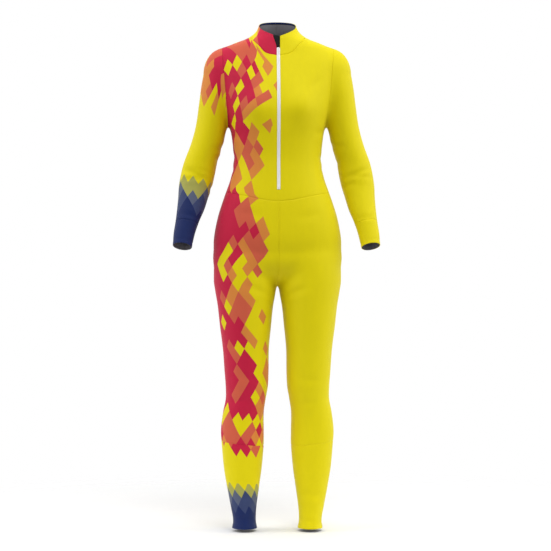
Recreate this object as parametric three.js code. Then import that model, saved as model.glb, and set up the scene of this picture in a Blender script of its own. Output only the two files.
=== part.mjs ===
import * as THREE from "three";

// A women's one-piece race suit in stretch cloth, zipped up and filled out as it is when
// worn. Millimetres, +Z up. The front faces -Y, and the wearer's right side is at -X.
// The origin lies inside the yoke, between the shoulders that carry the suit.
//
// The suit's outer surface is one smooth skin: an oval trunk, two oval legs and two oval
// arms, blended where they meet. Each piece of cloth is a net of points on that skin,
// stretched between its own seam lines, with a second net one wall thickness inside.

// Cloth and seams
const WALL = 1.5;
const SEAM_GAP = 0.3;

// Blends of the skin: how far the round between two limbs reaches
const ARMPIT_BLEND = 20;
const HIP_BLEND = 20;
const INSEAM_BLEND = 14;

// The trunk, from the neck down. half is half its width, middle is where it is widest,
// front and back are how far it reaches to each side of the origin's plane, and square
// is 2 for an ellipse and more for a boxier oval.
const TRUNK = [
  { z: 110, half: 47, middle: 4, front: -46, back: 54, square: 2.0 },
  { z: 90, half: 49, middle: 6, front: -47, back: 58, square: 2.0 },
  { z: 70, half: 53, middle: 8, front: -49, back: 63, square: 2.0 },
  { z: 57, half: 60, middle: 10, front: -51, back: 67, square: 2.0 },
  { z: 46, half: 72, middle: 12, front: -53, back: 72, square: 2.0 },
  { z: 35, half: 91, middle: 13, front: -56, back: 77, square: 2.05 },
  { z: 24, half: 121, middle: 14, front: -58, back: 84, square: 2.1 },
  { z: 11, half: 148, middle: 14, front: -61, back: 90, square: 2.15 },
  { z: -10, half: 163, middle: 14, front: -66, back: 97, square: 2.3 },
  { z: -40, half: 166, middle: 13, front: -76, back: 104, square: 2.4 },
  { z: -100, half: 156, middle: 11, front: -95, back: 109, square: 2.4 },
  { z: -160, half: 143, middle: 9, front: -105, back: 107, square: 2.4 },
  { z: -207, half: 132, middle: 8, front: -103, back: 102, square: 2.35 },
  { z: -256, half: 124.5, middle: 6, front: -96, back: 92, square: 2.3 },
  { z: -302, half: 121.5, middle: 5, front: -91, back: 84, square: 2.3 },
  { z: -347, half: 128.5, middle: 4, front: -92, back: 83, square: 2.3 },
  { z: -406, half: 149, middle: 3, front: -96, back: 90, square: 2.3 },
  { z: -460, half: 166, middle: 3, front: -98, back: 100, square: 2.3 },
  { z: -520, half: 177, middle: 4, front: -97, back: 110, square: 2.3 },
  { z: -560, half: 176.5, middle: 5, front: -89, back: 110, square: 2.3 },
];
// Below the last row the trunk closes in a round bowl, which the rise seam runs over.
const TRUNK_FLOOR = { z: -560, reach: 76 };

// Soft mounds on the trunk, one on each side: the bust cups and the seat
const MOUNDS = [
  { x: 64, z: -158, wide: 46, high: 50, out: 13, facing: -1 },
  { x: 78, z: -548, wide: 62, high: 66, out: 9, facing: 1 },
];

// A leg. inner and outer are distances from the suit's middle plane.
const LEG = [
  { z: -640, inner: 2.5, outer: 177, middle: 5, front: -86, back: 98 },
  { z: -673, inner: 6.5, outer: 171.5, middle: 4, front: -85, back: 91 },
  { z: -706, inner: 12.5, outer: 166, middle: 3, front: -82, back: 86 },
  { z: -760, inner: 18, outer: 160, middle: 2, front: -77, back: 79 },
  { z: -823, inner: 24, outer: 152, middle: 2, front: -69, back: 70 },
  { z: -889, inner: 25, outer: 147, middle: 2, front: -61, back: 61 },
  { z: -930, inner: 27, outer: 144, middle: 3, front: -57, back: 56 },
  { z: -964, inner: 33, outer: 144, middle: 5, front: -52, back: 58 },
  { z: -1000, inner: 38, outer: 151, middle: 9, front: -47, back: 67 },
  { z: -1050, inner: 38, outer: 157, middle: 14, front: -44, back: 76 },
  { z: -1090, inner: 38, outer: 155, middle: 16, front: -42, back: 77 },
  { z: -1156, inner: 43.5, outer: 149, middle: 17, front: -38, back: 70 },
  { z: -1210, inner: 51, outer: 140, middle: 16, front: -34, back: 60 },
  { z: -1262, inner: 58, outer: 130, middle: 14, front: -31, back: 53 },
  { z: -1300, inner: 60, outer: 123.5, middle: 12, front: -30, back: 50 },
  { z: -1325, inner: 56.5, outer: 126, middle: 12, front: -33, back: 53 },
];
// Above its first row a leg ends in a round head, hidden in the trunk.
const LEG_HEAD = { z: -612, reach: 120 };

// An arm, which hangs out from the side, a little forward below the elbow
const ARM = [
  { z: -62, inner: 104, outer: 206, middle: 11, depth: 50 },
  { z: -100, inner: 116, outer: 212.5, middle: 12, depth: 51 },
  { z: -150, inner: 129, outer: 219, middle: 13, depth: 49.5 },
  { z: -207, inner: 141, outer: 227.5, middle: 14, depth: 48 },
  { z: -256, inner: 151.5, outer: 241, middle: 15, depth: 47 },
  { z: -306, inner: 167.5, outer: 260, middle: 16, depth: 46 },
  { z: -339, inner: 174, outer: 268.5, middle: 15, depth: 45.5 },
  { z: -372, inner: 182, outer: 274, middle: 12, depth: 44 },
  { z: -406, inner: 193, outer: 276, middle: 3, depth: 42.5 },
  { z: -439, inner: 203.5, outer: 279, middle: -8, depth: 40.5 },
  { z: -473, inner: 218, outer: 283, middle: -20, depth: 37 },
  { z: -506, inner: 229, outer: 288, middle: -32, depth: 33.5 },
  { z: -550, inner: 239, outer: 290, middle: -48, depth: 30 },
];
// Above its first row an arm ends in the round of the shoulder.
const ARM_HEAD = { z: -62, reach: 71 };
// The left arm hangs a little closer to the side than the right one.
const ARM_REACH = { right: 1, left: 0.971 };

// Seams. Heights are Z, and turns are degrees round the neck from the front.
const NECKLINE = [
  { turn: 0, z: -16.5 },
  { turn: 24, z: -9 },
  { turn: 37, z: 11 },
  { turn: 49, z: 26 },
  { turn: 64, z: 36.5 },
  { turn: 90, z: 43 },
  { turn: 135, z: 47 },
  { turn: 180, z: 49 },
];
const COLLAR_TOP = { front: 36, back: 86 };
const WAIST_SEAM = { front: -418, side: -391, back: -405 };
const ARMHOLE = { topX: 155, topZ: 12, bottomX: 137.5, bottomZ: -208, y: 11 };
const CALF_SEAM = { z: -1088, rise: 12 };
const HEM_Z = -1323;
const CROTCH_Y = 4;

// The sleeve's first straight ring, its cuff seam and its end. lean and forward tilt
// the ring's plane with the arm.
const SLEEVE_RINGS = {
  first: { z: -222, lean: 0.27, forward: 0 },
  seam: { z: -478, lean: 0.22, forward: -0.33 },
  end: { z: -541, lean: 0.15, forward: -0.36 },
};

// The front zip. corner rounds its top, and the fronts meet again just below its square end.
const ZIP = { width: 9.5, top: 6, end: -386, corner: 3, meet: 1 };

// The collar's two front edges leave the zip between heights from and to, and end at the
// top this far from the middle.
const COLLAR_OPENING = { right: 15.5, left: 5.2, from: 2, to: 50 };

// The guard behind that opening, and the share of a column that it reaches under each half
const GUARD = { behind: 0.5, thick: 1.2, underRight: 0.35, underLeft: 0.2 };

// The rise seam runs straight down this share of its length, then round the crotch.
const RISE_STRAIGHT = 0.55;
// The two legs part this far below the crotch point.
const LEGS_PART = 10;

// How finely each piece is netted. A front has its neck and shoulder columns side by side.
const ROWS = {
  side: 9, armhole: 12, rise: 8, inseam: 13, ankle: 7, head: 8, sleeve: 10, cuff: 2, collar: 3,
};
const COLUMNS = { neck: 6, shoulder: 4, front: 10, back: 10 };
const SMOOTHING_PASSES = 30;
const SMOOTHING_KEEPS = 0.3;
const FINE = 48;

// How a point finds the skin: the length of a stride, how close is close enough, and for
// settle its tries, the slowest growth it trusts and its longest step
const STRIDE = 4;
const CLOSE = 0.001;
const SETTLE = { tries: 24, slowest: 0.3, longest: 12 };
const WELL_INSIDE = 40;

const RIGHT = -1;
const LEFT = 1;
const SIDES = [
  { side: RIGHT, name: "right" },
  { side: LEFT, name: "left" },
];

// Colours, read from the cloth in even light
const CLOTH = {
  yellow: { color: 0xf0e000, roughness: 0.62, metalness: 0 },
  crimson: { color: 0xc8203f, roughness: 0.62, metalness: 0 },
  navy: { color: 0x21305f, roughness: 0.62, metalness: 0 },
  white: { color: 0xf2f2f7, roughness: 0.5, metalness: 0 },
  black: { color: 0x191d1d, roughness: 0.7, metalness: 0 },
};

const vec = (x, y, z) => new THREE.Vector3(x, y, z);
const radians = THREE.MathUtils.degToRad;
const steps = (count) => Array.from({ length: count + 1 }, (_, i) => i / count);

// A smooth curve through one column of a table, read at any value of the key column.
function column(table, key, name) {
  const rows = [...table].sort((a, b) => a[key] - b[key]);
  const last = rows.length - 1;
  const slopeAt = (i) => {
    const before = rows[Math.max(i - 1, 0)];
    const after = rows[Math.min(i + 1, last)];
    return (after[name] - before[name]) / (after[key] - before[key]);
  };
  const slopes = rows.map((_, i) => slopeAt(i));
  return (place) => {
    const at = THREE.MathUtils.clamp(place, rows[0][key], rows[last][key]);
    let i = 0;
    while (i < last - 1 && at > rows[i + 1][key]) i += 1;
    const span = rows[i + 1][key] - rows[i][key];
    const t = (at - rows[i][key]) / span;
    const rise = rows[i + 1][name] - rows[i][name];
    const bend = slopes[i] * span - rise;
    const unbend = rise - slopes[i + 1] * span;
    return rows[i][name] + t * rise + t * (1 - t) * ((1 - t) * bend + t * unbend);
  };
}

// The table as an object of such curves, one for each named column.
function curves(table, key = "z") {
  const names = Object.keys(table[0]).filter((name) => name !== key);
  return Object.fromEntries(names.map((name) => [name, column(table, key, name)]));
}

const trunkAt = curves(TRUNK);
const legAt = curves(LEG);
const armAt = curves(ARM);
const necklineAt = column(NECKLINE, "turn", "z");

// How far a point lies outside an oval, measured from the oval's middle (negative inside).
function outsideOval(dx, dy, dz, half, depth, reach, square) {
  const power = (value, size) => Math.abs(value / size) ** square;
  const ratio = (power(dx, half) + power(dy, depth) + power(dz, reach)) ** (1 / square);
  return Math.hypot(dx, dy, dz) * (1 - 1 / Math.max(ratio, 1e-6));
}

function outsideTrunk(p) {
  const middle = trunkAt.middle(p.z);
  const dy = p.y - middle;
  const depth = dy < 0 ? middle - trunkAt.front(p.z) : trunkAt.back(p.z) - middle;
  const below = Math.min(p.z - TRUNK_FLOOR.z, 0);
  const square = trunkAt.square(p.z);
  let out = outsideOval(p.x, dy, below, trunkAt.half(p.z), depth, TRUNK_FLOOR.reach, square);
  for (const mound of MOUNDS) {
    const across = (Math.abs(p.x) - mound.x) / mound.wide;
    const up = (p.z - mound.z) / mound.high;
    const facing = THREE.MathUtils.clamp((mound.facing * dy) / depth, 0, 1);
    out -= mound.out * facing * Math.exp(-across * across - up * up);
  }
  return out;
}

function outsideLeg(p, side) {
  const inner = legAt.inner(p.z);
  const outer = legAt.outer(p.z);
  const middle = legAt.middle(p.z);
  const dy = p.y - middle;
  const depth = dy < 0 ? middle - legAt.front(p.z) : legAt.back(p.z) - middle;
  const above = Math.max(p.z - LEG_HEAD.z, 0);
  const dx = side * p.x - (inner + outer) / 2;
  return outsideOval(dx, dy, above, (outer - inner) / 2, depth, LEG_HEAD.reach, 2);
}

// How far an arm's middle is from the suit's middle plane.
function armCentre(side, z) {
  const reach = side === RIGHT ? ARM_REACH.right : ARM_REACH.left;
  const swing = THREE.MathUtils.smoothstep(-z, -ARMHOLE.bottomZ, -SLEEVE_RINGS.end.z);
  return ((armAt.inner(z) + armAt.outer(z)) / 2) * THREE.MathUtils.lerp(1, reach, swing);
}

function outsideArm(p, side) {
  const half = (armAt.outer(p.z) - armAt.inner(p.z)) / 2;
  const above = Math.max(p.z - ARM_HEAD.z, 0);
  const dx = side * p.x - armCentre(side, p.z);
  const dy = p.y - armAt.middle(p.z);
  return outsideOval(dx, dy, above, half, armAt.depth(p.z), ARM_HEAD.reach, 2);
}

// The smaller of two distances, rounded off where they are alike.
function blend(a, b, reach) {
  const share = Math.max(reach - Math.abs(a - b), 0) / reach;
  return Math.min(a, b) - (share * share * reach) / 4;
}

// How far a point lies outside the suit's skin.
function outside(p) {
  const legs = blend(outsideLeg(p, RIGHT), outsideLeg(p, LEFT), INSEAM_BLEND);
  const body = blend(outsideTrunk(p), legs, HIP_BLEND);
  const arm = Math.min(outsideArm(p, RIGHT), outsideArm(p, LEFT));
  return blend(body, arm, ARMPIT_BLEND);
}

// The direction in which the skin's distance grows fastest, with the rate as its length.
function gradient(p) {
  const h = 0.25;
  const along = (axis) => {
    const step = axis.clone().multiplyScalar(h);
    return (outside(p.clone().add(step)) - outside(p.clone().sub(step))) / (2 * h);
  };
  return vec(along(vec(1, 0, 0)), along(vec(0, 1, 0)), along(vec(0, 0, 1)));
}

const normalAt = (p) => gradient(p).normalize();

// Moves a point that is near the skin onto it.
function settle(p) {
  const q = p.clone();
  for (let i = 0; i < SETTLE.tries; i += 1) {
    const away = outside(q);
    if (Math.abs(away) < CLOSE) break;
    const g = gradient(q);
    const wanted = away / Math.max(g.length(), SETTLE.slowest);
    const step = THREE.MathUtils.clamp(wanted, -SETTLE.longest, SETTLE.longest);
    q.addScaledVector(g.normalize(), -step);
  }
  return q;
}

// The first point of the skin on a line that starts inside the suit.
function cast(from, direction) {
  const way = direction.clone().normalize();
  const at = (length) => from.clone().addScaledVector(way, length);
  let far = STRIDE;
  while (outside(at(far)) < 0) far += STRIDE;
  let near = far - STRIDE;
  while (far - near > CLOSE) {
    const half = (near + far) / 2;
    if (outside(at(half)) < 0) near = half;
    else far = half;
  }
  return at(near);
}

// Shares a line of points out evenly along its length, into count stretches.
function evenly(points, count) {
  const lengths = [0];
  for (let i = 1; i < points.length; i += 1) {
    lengths.push(lengths[i - 1] + points[i].distanceTo(points[i - 1]));
  }
  return steps(count).map((share) => {
    const length = share * lengths.at(-1);
    let i = 1;
    while (i < points.length - 1 && lengths[i] < length) i += 1;
    const t = (length - lengths[i - 1]) / (lengths[i] - lengths[i - 1]);
    return points[i - 1].clone().lerp(points[i], t);
  });
}

// Shares a seam line out evenly on the skin, keeping its two ends.
function seam(points, count) {
  const line = evenly(points, count).map(settle);
  line[0] = points[0].clone();
  line[count] = points.at(-1).clone();
  return line;
}

const backwards = (points) => [...points].reverse();
const join = (...lines) => lines.flatMap((line, i) => (i ? line.slice(1) : line));

// A point on the trunk, seen from its middle at a height, turn degrees from the front.
function trunkPoint(side, turn, z) {
  const angle = radians(turn);
  return cast(vec(0, trunkAt.middle(z), z), vec(side * Math.sin(angle), -Math.cos(angle), 0));
}

// The point of the trunk's front at a distance x from the middle plane.
const frontPoint = (x, z) => cast(vec(x, trunkAt.middle(z), z), vec(0, -1, 0));

// How far round the trunk a point of its front lies, in degrees.
const turnOf = (p) => THREE.MathUtils.radToDeg(Math.atan2(Math.abs(p.x), trunkAt.middle(p.z) - p.y));

const necklinePoint = (side, turn) => trunkPoint(side, turn, necklineAt(turn));

function waistPoint(side, turn) {
  const { front, side: beside, back } = WAIST_SEAM;
  const end = turn < 90 ? front : back;
  const z = THREE.MathUtils.lerp(beside, end, Math.cos(radians(turn)) ** 2);
  return trunkPoint(side, turn, z);
}

// The armhole is where a slightly tilted upright plane cuts the skin.
function armholePoint(side, turn) {
  const { topX, topZ, bottomX, bottomZ, y } = ARMHOLE;
  const centre = vec((side * (topX + bottomX)) / 2, y, (topZ + bottomZ) / 2);
  const up = vec(side * (topX - bottomX), 0, topZ - bottomZ).normalize();
  const forward = vec(0, -1, 0);
  const angle = radians(turn);
  const way = up.multiplyScalar(-Math.cos(angle)).addScaledVector(forward, Math.sin(angle));
  return cast(centre, way);
}

function sidePoint(side, z) {
  return cast(vec(0, ARMHOLE.y, z), vec(side, 0, 0));
}

// The rise seam, in the suit's middle plane, from the waist down to the crotch point.
function risePoint(facing, share, top) {
  if (share < RISE_STRAIGHT) {
    const z = THREE.MathUtils.lerp(top, TRUNK_FLOOR.z, share / RISE_STRAIGHT);
    return cast(vec(0, CROTCH_Y, z), vec(0, facing, 0));
  }
  const angle = radians(90 * ((share - RISE_STRAIGHT) / (1 - RISE_STRAIGHT)));
  return cast(vec(0, CROTCH_Y, TRUNK_FLOOR.z), vec(0, facing * Math.cos(angle), -Math.sin(angle)));
}

function legCentre(side, z) {
  return vec((side * (legAt.inner(z) + legAt.outer(z))) / 2, legAt.middle(z), z);
}

// A ring round a leg: turn 0 is at the inseam, 90 in front, 180 at the side, 270 behind.
function legPoint(side, turn, z, rise) {
  const angle = radians(turn);
  const inward = vec(-side * Math.cos(angle), -Math.sin(angle), -rise * Math.cos(angle));
  return cast(legCentre(side, z), inward);
}

const calfPoint = (side, turn) => {
  const { z, rise } = CALF_SEAM;
  return legPoint(side, turn, z, rise / (legAt.outer(z) - legAt.inner(z)));
};

// A ring round a sleeve, in a plane that leans with the arm: turn 0 is at the underarm,
// 90 in front, 180 outside.
function sleevePoint(side, turn, ring) {
  const centre = vec(side * armCentre(side, ring.z), armAt.middle(ring.z), ring.z);
  const angle = radians(turn);
  const outward = -Math.cos(angle);
  const frontward = Math.sin(angle);
  const way = vec(side * outward, -frontward, ring.lean * outward + ring.forward * -frontward);
  return cast(centre, way);
}

const turns = (from, to) => steps(FINE).map((t) => THREE.MathUtils.lerp(from, to, t));

// The front edge of one front: the fronts' own seam below the zip, then the zip's edge.
function zipSeam(side, bottom) {
  const below = [bottom, frontPoint(0, (bottom.z + ZIP.end) / 2), frontPoint(0, ZIP.end - ZIP.meet)];
  const zipRows = ROWS.side + ROWS.armhole - below.length;
  const neckZ = necklineAt(0);
  const beside = steps(zipRows).map((t) => (
    frontPoint((side * ZIP.width) / 2, THREE.MathUtils.lerp(ZIP.end, neckZ, t))
  ));
  return [...below, ...beside];
}

// The seam lines of one side of the suit, each shared out as its pieces' nets need.
function seamsOf(side) {
  const waistFront = seam(turns(0, 90).map((turn) => waistPoint(side, turn)), COLUMNS.front);
  const waistBack = seam(turns(90, 180).map((turn) => waistPoint(side, turn)), COLUMNS.back);
  const zipLine = zipSeam(side, waistFront[0]);
  const throat = zipLine.at(-1);
  const neckFront = seam(
    [throat, ...turns(turnOf(throat), 90).slice(1).map((turn) => necklinePoint(side, turn))],
    COLUMNS.neck,
  );
  const neckBack = seam(turns(90, 180).map((turn) => necklinePoint(side, turn)), COLUMNS.neck);
  const tip = armholePoint(side, 180);
  const neckSide = neckFront.at(-1);
  const ridge = steps(FINE).map((t) => neckSide.clone().lerp(tip, t));
  const shoulder = seam(
    ridge.map((p) => cast(vec(p.x, p.y, p.z - WELL_INSIDE), vec(0, 0, 1))),
    COLUMNS.shoulder,
  );
  shoulder[0] = neckSide.clone();
  shoulder[COLUMNS.shoulder] = tip.clone();
  const armholeFront = seam(turns(0, 180).map((turn) => armholePoint(side, turn)), ROWS.armhole);
  const armholeBack = seam(turns(0, -180).map((turn) => armholePoint(side, turn)), ROWS.armhole);
  armholeBack[ROWS.armhole] = tip.clone();
  armholeBack[0] = armholeFront[0].clone();
  const waistSide = waistFront.at(-1);
  const sideHeights = turns(waistSide.z, armholeFront[0].z).slice(1, -1);
  const sideLine = [waistSide, ...sideHeights.map((z) => sidePoint(side, z)), armholeFront[0]];
  const crotch = risePoint(-1, 1, 0);
  const riseFront = seam(steps(FINE).map((t) => risePoint(-1, t, waistFront[0].z)), ROWS.rise);
  const riseBack = seam(steps(FINE).map((t) => risePoint(1, t, waistBack.at(-1).z)), ROWS.rise);
  riseFront[ROWS.rise] = crotch.clone();
  riseBack[ROWS.rise] = crotch.clone();
  const calfFront = seam(turns(0, 180).map((turn) => calfPoint(side, turn)), COLUMNS.front);
  const calfBack = seam(turns(0, -180).map((turn) => calfPoint(side, turn)), COLUMNS.back);
  calfBack[0] = calfFront[0].clone();
  calfBack[COLUMNS.back] = calfFront.at(-1).clone();
  const inseamHeights = turns(crotch.z - LEGS_PART, calfFront[0].z).slice(0, -1);
  const inseam = seam(
    [crotch, ...inseamHeights.map((z) => legPoint(side, 0, z, 0)), calfFront[0]],
    ROWS.inseam,
  );
  const outwards = vec(side, 0, 0);
  const legSideHeights = turns(waistSide.z, calfFront.at(-1).z).slice(1, -1);
  const legSide = seam(
    [waistSide, ...legSideHeights.map((z) => cast(legCentre(side, z), outwards)), calfFront.at(-1)],
    ROWS.rise + ROWS.inseam,
  );
  return {
    zipLine, waistFront, waistBack, neckFront, neckBack, shoulder, armholeFront, armholeBack,
    sideLine: seam(sideLine, ROWS.side), riseFront, riseBack, calfFront, calfBack, inseam, legSide,
  };
}

// Fills the space between four seam lines with a net of points on the skin. bottom and
// top run from left to right, and left and right run from bottom to top.
function net(bottom, top, left, right) {
  const across = bottom.length - 1;
  const up = left.length - 1;
  const rows = left.map((_, j) => {
    const v = j / up;
    return bottom.map((__, i) => {
      const u = i / across;
      if (j === 0) return bottom[i].clone();
      if (j === up) return top[i].clone();
      if (i === 0) return left[j].clone();
      if (i === across) return right[j].clone();
      const p = bottom[i].clone().multiplyScalar(1 - v).addScaledVector(top[i], v);
      p.addScaledVector(left[j], 1 - u).addScaledVector(right[j], u);
      p.addScaledVector(bottom[0], -(1 - u) * (1 - v)).addScaledVector(bottom[across], -u * (1 - v));
      p.addScaledVector(top[0], -(1 - u) * v).addScaledVector(top[across], -u * v);
      return settle(p);
    });
  });
  for (let pass = 0; pass < SMOOTHING_PASSES; pass += 1) {
    for (let j = 1; j < up; j += 1) {
      for (let i = 1; i < across; i += 1) {
        const around = [rows[j][i - 1], rows[j][i + 1], rows[j - 1][i], rows[j + 1][i]];
        const p = around.reduce((sum, q) => sum.add(q), vec(0, 0, 0)).divideScalar(around.length);
        rows[j][i] = settle(p.lerp(rows[j][i], SMOOTHING_KEEPS));
      }
    }
  }
  return rows;
}

// Rings of points from one closed line to another: each point slides over the skin.
function rings(from, to, count) {
  return steps(count).map((t) => from.map((p, i) => {
    if (t === 0) return p.clone();
    if (t === 1) return to[i].clone();
    return settle(p.clone().lerp(to[i], t));
  }));
}

// A net as a wall of cloth: its points outside, and the same points moved in by the
// wall's thickness. Every open edge is drawn in by half a seam gap. behind moves the
// whole wall in from the skin.
function clothGeometry(rows, { round = false, thick = WALL, behind = 0 } = {}) {
  const up = rows.length;
  const across = rows[0].length;
  const normals = rows.map((row) => row.map(normalAt));
  const pointAt = (j, i) => {
    const row = rows[THREE.MathUtils.clamp(j, 0, up - 1)];
    return row[round ? (i + across) % across : THREE.MathUtils.clamp(i, 0, across - 1)];
  };
  // The way in from an edge point, with (dj, di) as the step towards the middle of the net
  const edge = (j, i, dj, di) => {
    const before = pointAt(j - Math.abs(di), i - Math.abs(dj));
    const after = pointAt(j + Math.abs(di), i + Math.abs(dj));
    const along = after.clone().sub(before).normalize();
    const inward = normals[j][i].clone().cross(along).normalize();
    if (inward.dot(pointAt(j + dj, i + di).clone().sub(rows[j][i])) < 0) inward.negate();
    return inward.multiplyScalar(SEAM_GAP / 2);
  };
  const drawn = rows.map((row, j) => row.map((p, i) => {
    const q = p.clone();
    if (j === 0) q.add(edge(j, i, 1, 0));
    if (j === up - 1) q.add(edge(j, i, -1, 0));
    if (!round && i === 0) q.add(edge(j, i, 0, 1));
    if (!round && i === across - 1) q.add(edge(j, i, 0, -1));
    return q;
  }));
  const movedIn = (net, depth) => net.map((row, j) => (
    row.map((p, i) => p.clone().addScaledVector(normals[j][i], -depth))
  ));
  const outer = movedIn(drawn, behind);
  const inner = movedIn(outer, thick);

  const count = up * across;
  const at = (j, i) => j * across + (i % across);
  const index = [];
  const quad = (a, b, c, d) => index.push(a, b, c, a, c, d);
  const points = [...outer.flat(), ...inner.flat()];
  const positions = points.flatMap((p) => [p.x, p.y, p.z]);
  // Splits a four-sided face along its shorter diagonal.
  const face = (a, b, c, d) => {
    const first = points[a].distanceTo(points[c]);
    const second = points[b].distanceTo(points[d]);
    if (first <= second) quad(a, b, c, d);
    else quad(b, c, d, a);
  };
  const columns = round ? across : across - 1;
  for (let j = 0; j < up - 1; j += 1) {
    for (let i = 0; i < columns; i += 1) {
      face(at(j, i), at(j, i + 1), at(j + 1, i + 1), at(j + 1, i));
      face(count + at(j, i), count + at(j + 1, i), count + at(j + 1, i + 1), count + at(j, i + 1));
    }
  }
  for (let i = 0; i < columns; i += 1) {
    quad(at(0, i), count + at(0, i), count + at(0, i + 1), at(0, i + 1));
    quad(at(up - 1, i), at(up - 1, i + 1), count + at(up - 1, i + 1), count + at(up - 1, i));
  }
  if (!round) {
    for (let j = 0; j < up - 1; j += 1) {
      quad(at(j, 0), at(j + 1, 0), count + at(j + 1, 0), count + at(j, 0));
      const end = across - 1;
      quad(at(j, end), count + at(j, end), count + at(j + 1, end), at(j + 1, end));
    }
  }

  // Faces point out when the first outer face agrees with the skin's own normal.
  const [a, b, c] = [outer[0][0], outer[0][1], outer[1][1]];
  const faces = b.clone().sub(a).cross(c.clone().sub(a));
  if (faces.dot(normals[0][0]) < 0) {
    for (let i = 0; i < index.length; i += 3) {
      [index[i + 1], index[i + 2]] = [index[i + 2], index[i + 1]];
    }
  }
  const geometry = new THREE.BufferGeometry();
  geometry.setAttribute("position", new THREE.Float32BufferAttribute(positions, 3));
  geometry.setIndex(index);
  geometry.computeVertexNormals();
  return geometry;
}

const suit = new THREE.Group();

function addCloth(name, rows, cloth, options) {
  const mesh = new THREE.Mesh(clothGeometry(rows, options), new THREE.MeshStandardMaterial(CLOTH[cloth]));
  mesh.name = name;
  suit.add(mesh);
}

// The front of the body, from the zip to the side seam, armhole and shoulder seam.
function addFront({ name }, lines) {
  const left = lines.zipLine;
  const right = join(lines.sideLine, lines.armholeFront);
  const top = join(lines.neckFront, lines.shoulder);
  addCloth(`front_${name}`, net(lines.waistFront, top, left, right), "yellow");
}

// The back, in one piece from side seam to side seam.
function addBack(right, left) {
  const bottom = join(right.waistBack, backwards(left.waistBack));
  const top = join(backwards(right.shoulder), right.neckBack, backwards(left.neckBack), left.shoulder);
  const rightEdge = join(right.sideLine, right.armholeBack);
  const leftEdge = join(left.sideLine, left.armholeBack);
  addCloth("back", net(bottom, top, rightEdge, leftEdge), "yellow");
}

// A leg's front or back, from the waist seam to the calf seam, with the rise and the
// inseam as one edge.
function addLegPanel(name, waist, calf, rise, lines) {
  const inside = join(rise, lines.inseam);
  addCloth(name, net(waist, calf, inside, lines.legSide), "yellow");
}

function addLeg({ side, name }, lines) {
  addLegPanel(`leg_front_${name}`, lines.waistFront, lines.calfFront, lines.riseFront, lines);
  addLegPanel(`leg_back_${name}`, backwards(lines.waistBack), lines.calfBack, lines.riseBack, lines);
  const calf = join(lines.calfFront, backwards(lines.calfBack)).slice(0, -1);
  const hem = ringLike(calf, legCentre(side, CALF_SEAM.z), (turn) => legPoint(side, turn, HEM_Z, 0));
  const cloth = side === RIGHT ? "navy" : "yellow";
  addCloth(`ankle_${name}`, rings(calf, hem, ROWS.ankle), cloth, { round: true });
}

// A ring with a point for each point of a given ring, at the same turn round the middle.
function ringLike(ring, middle, pointAt) {
  return ring.map((p) => {
    const sideways = Math.sign(middle.x) * (middle.x - p.x);
    return pointAt(THREE.MathUtils.radToDeg(Math.atan2(middle.y - p.y, sideways)));
  });
}

// A sleeve, from the armhole over the shoulder to the cuff seam, and its cuff.
function addSleeve({ side, name }, lines) {
  const armhole = join(lines.armholeFront, backwards(lines.armholeBack)).slice(0, -1);
  const { first, seam: cuffSeam, end } = SLEEVE_RINGS;
  const count = armhole.length;
  const ringAt = (ring) => armhole.map((_, i) => sleevePoint(side, (i * 360) / count, ring));
  const head = rings(armhole, ringAt(first), ROWS.head);
  const between = (from, to, t) => ({
    z: THREE.MathUtils.lerp(from.z, to.z, t),
    lean: THREE.MathUtils.lerp(from.lean, to.lean, t),
    forward: THREE.MathUtils.lerp(from.forward, to.forward, THREE.MathUtils.smoothstep(t, 0.3, 0.8)),
  });
  const arm = steps(ROWS.sleeve).map((t) => ringAt(between(first, cuffSeam, t)));
  const cuff = steps(ROWS.cuff).map((t) => ringAt(between(cuffSeam, end, t)));
  addCloth(`sleeve_${name}`, join(head, arm), "yellow", { round: true });
  addCloth(`cuff_${name}`, cuff, side === RIGHT ? "navy" : "yellow", { round: true });
}

// Half the collar, from the front opening round to the middle of the back. Its front
// edge follows the zip and then turns away to the opening at the top.
function addCollar({ side, name }, lines) {
  const base = join(lines.neckFront, lines.neckBack);
  const open = side === RIGHT ? COLLAR_OPENING.right : COLLAR_OPENING.left;
  const startTurn = turnOf(frontPoint(side * open, COLLAR_TOP.front));
  const topPoint = (turn) => trunkPoint(side, turn, collarTopZ(turn));
  const top = seam(turns(startTurn, 180).map(topPoint), base.length - 1);
  const turnedAway = (z) => THREE.MathUtils.smoothstep(z, COLLAR_OPENING.from, COLLAR_OPENING.to);
  const front = steps(FINE).map((t) => {
    const z = THREE.MathUtils.lerp(base[0].z, top[0].z, t);
    const share = turnedAway(z) / turnedAway(top[0].z);
    return frontPoint(side * THREE.MathUtils.lerp(ZIP.width / 2, Math.abs(top[0].x), share), z);
  });
  front[0] = base[0];
  front[FINE] = top[0];
  const middle = steps(FINE).map((t) => base.at(-1).clone().lerp(top.at(-1), t)).map(settle);
  const rows = net(base, top, seam(front, ROWS.collar), seam(middle, ROWS.collar));
  addCloth(`collar_${name}`, rows, side === RIGHT ? "crimson" : "yellow");
  return rows;
}

// The collar's top edge is nearly level behind and at the sides, and drops to the throat.
function collarTopZ(turn) {
  return THREE.MathUtils.lerp(COLLAR_TOP.front, COLLAR_TOP.back, Math.sin(radians(turn / 2)));
}

// The closed zip, a straight strip between the fronts and up into the collar.
function addZip() {
  const half = ZIP.width / 2;
  const heights = steps(ROWS.side + ROWS.armhole);
  const rows = heights.map((t) => [-half, 0, half].map((x) => {
    const drop = t === 1 && x !== 0 ? ZIP.corner : 0;
    return frontPoint(x, THREE.MathUtils.lerp(ZIP.end, ZIP.top, t) - drop);
  }));
  addCloth("zip", rows, "white");
}

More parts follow.
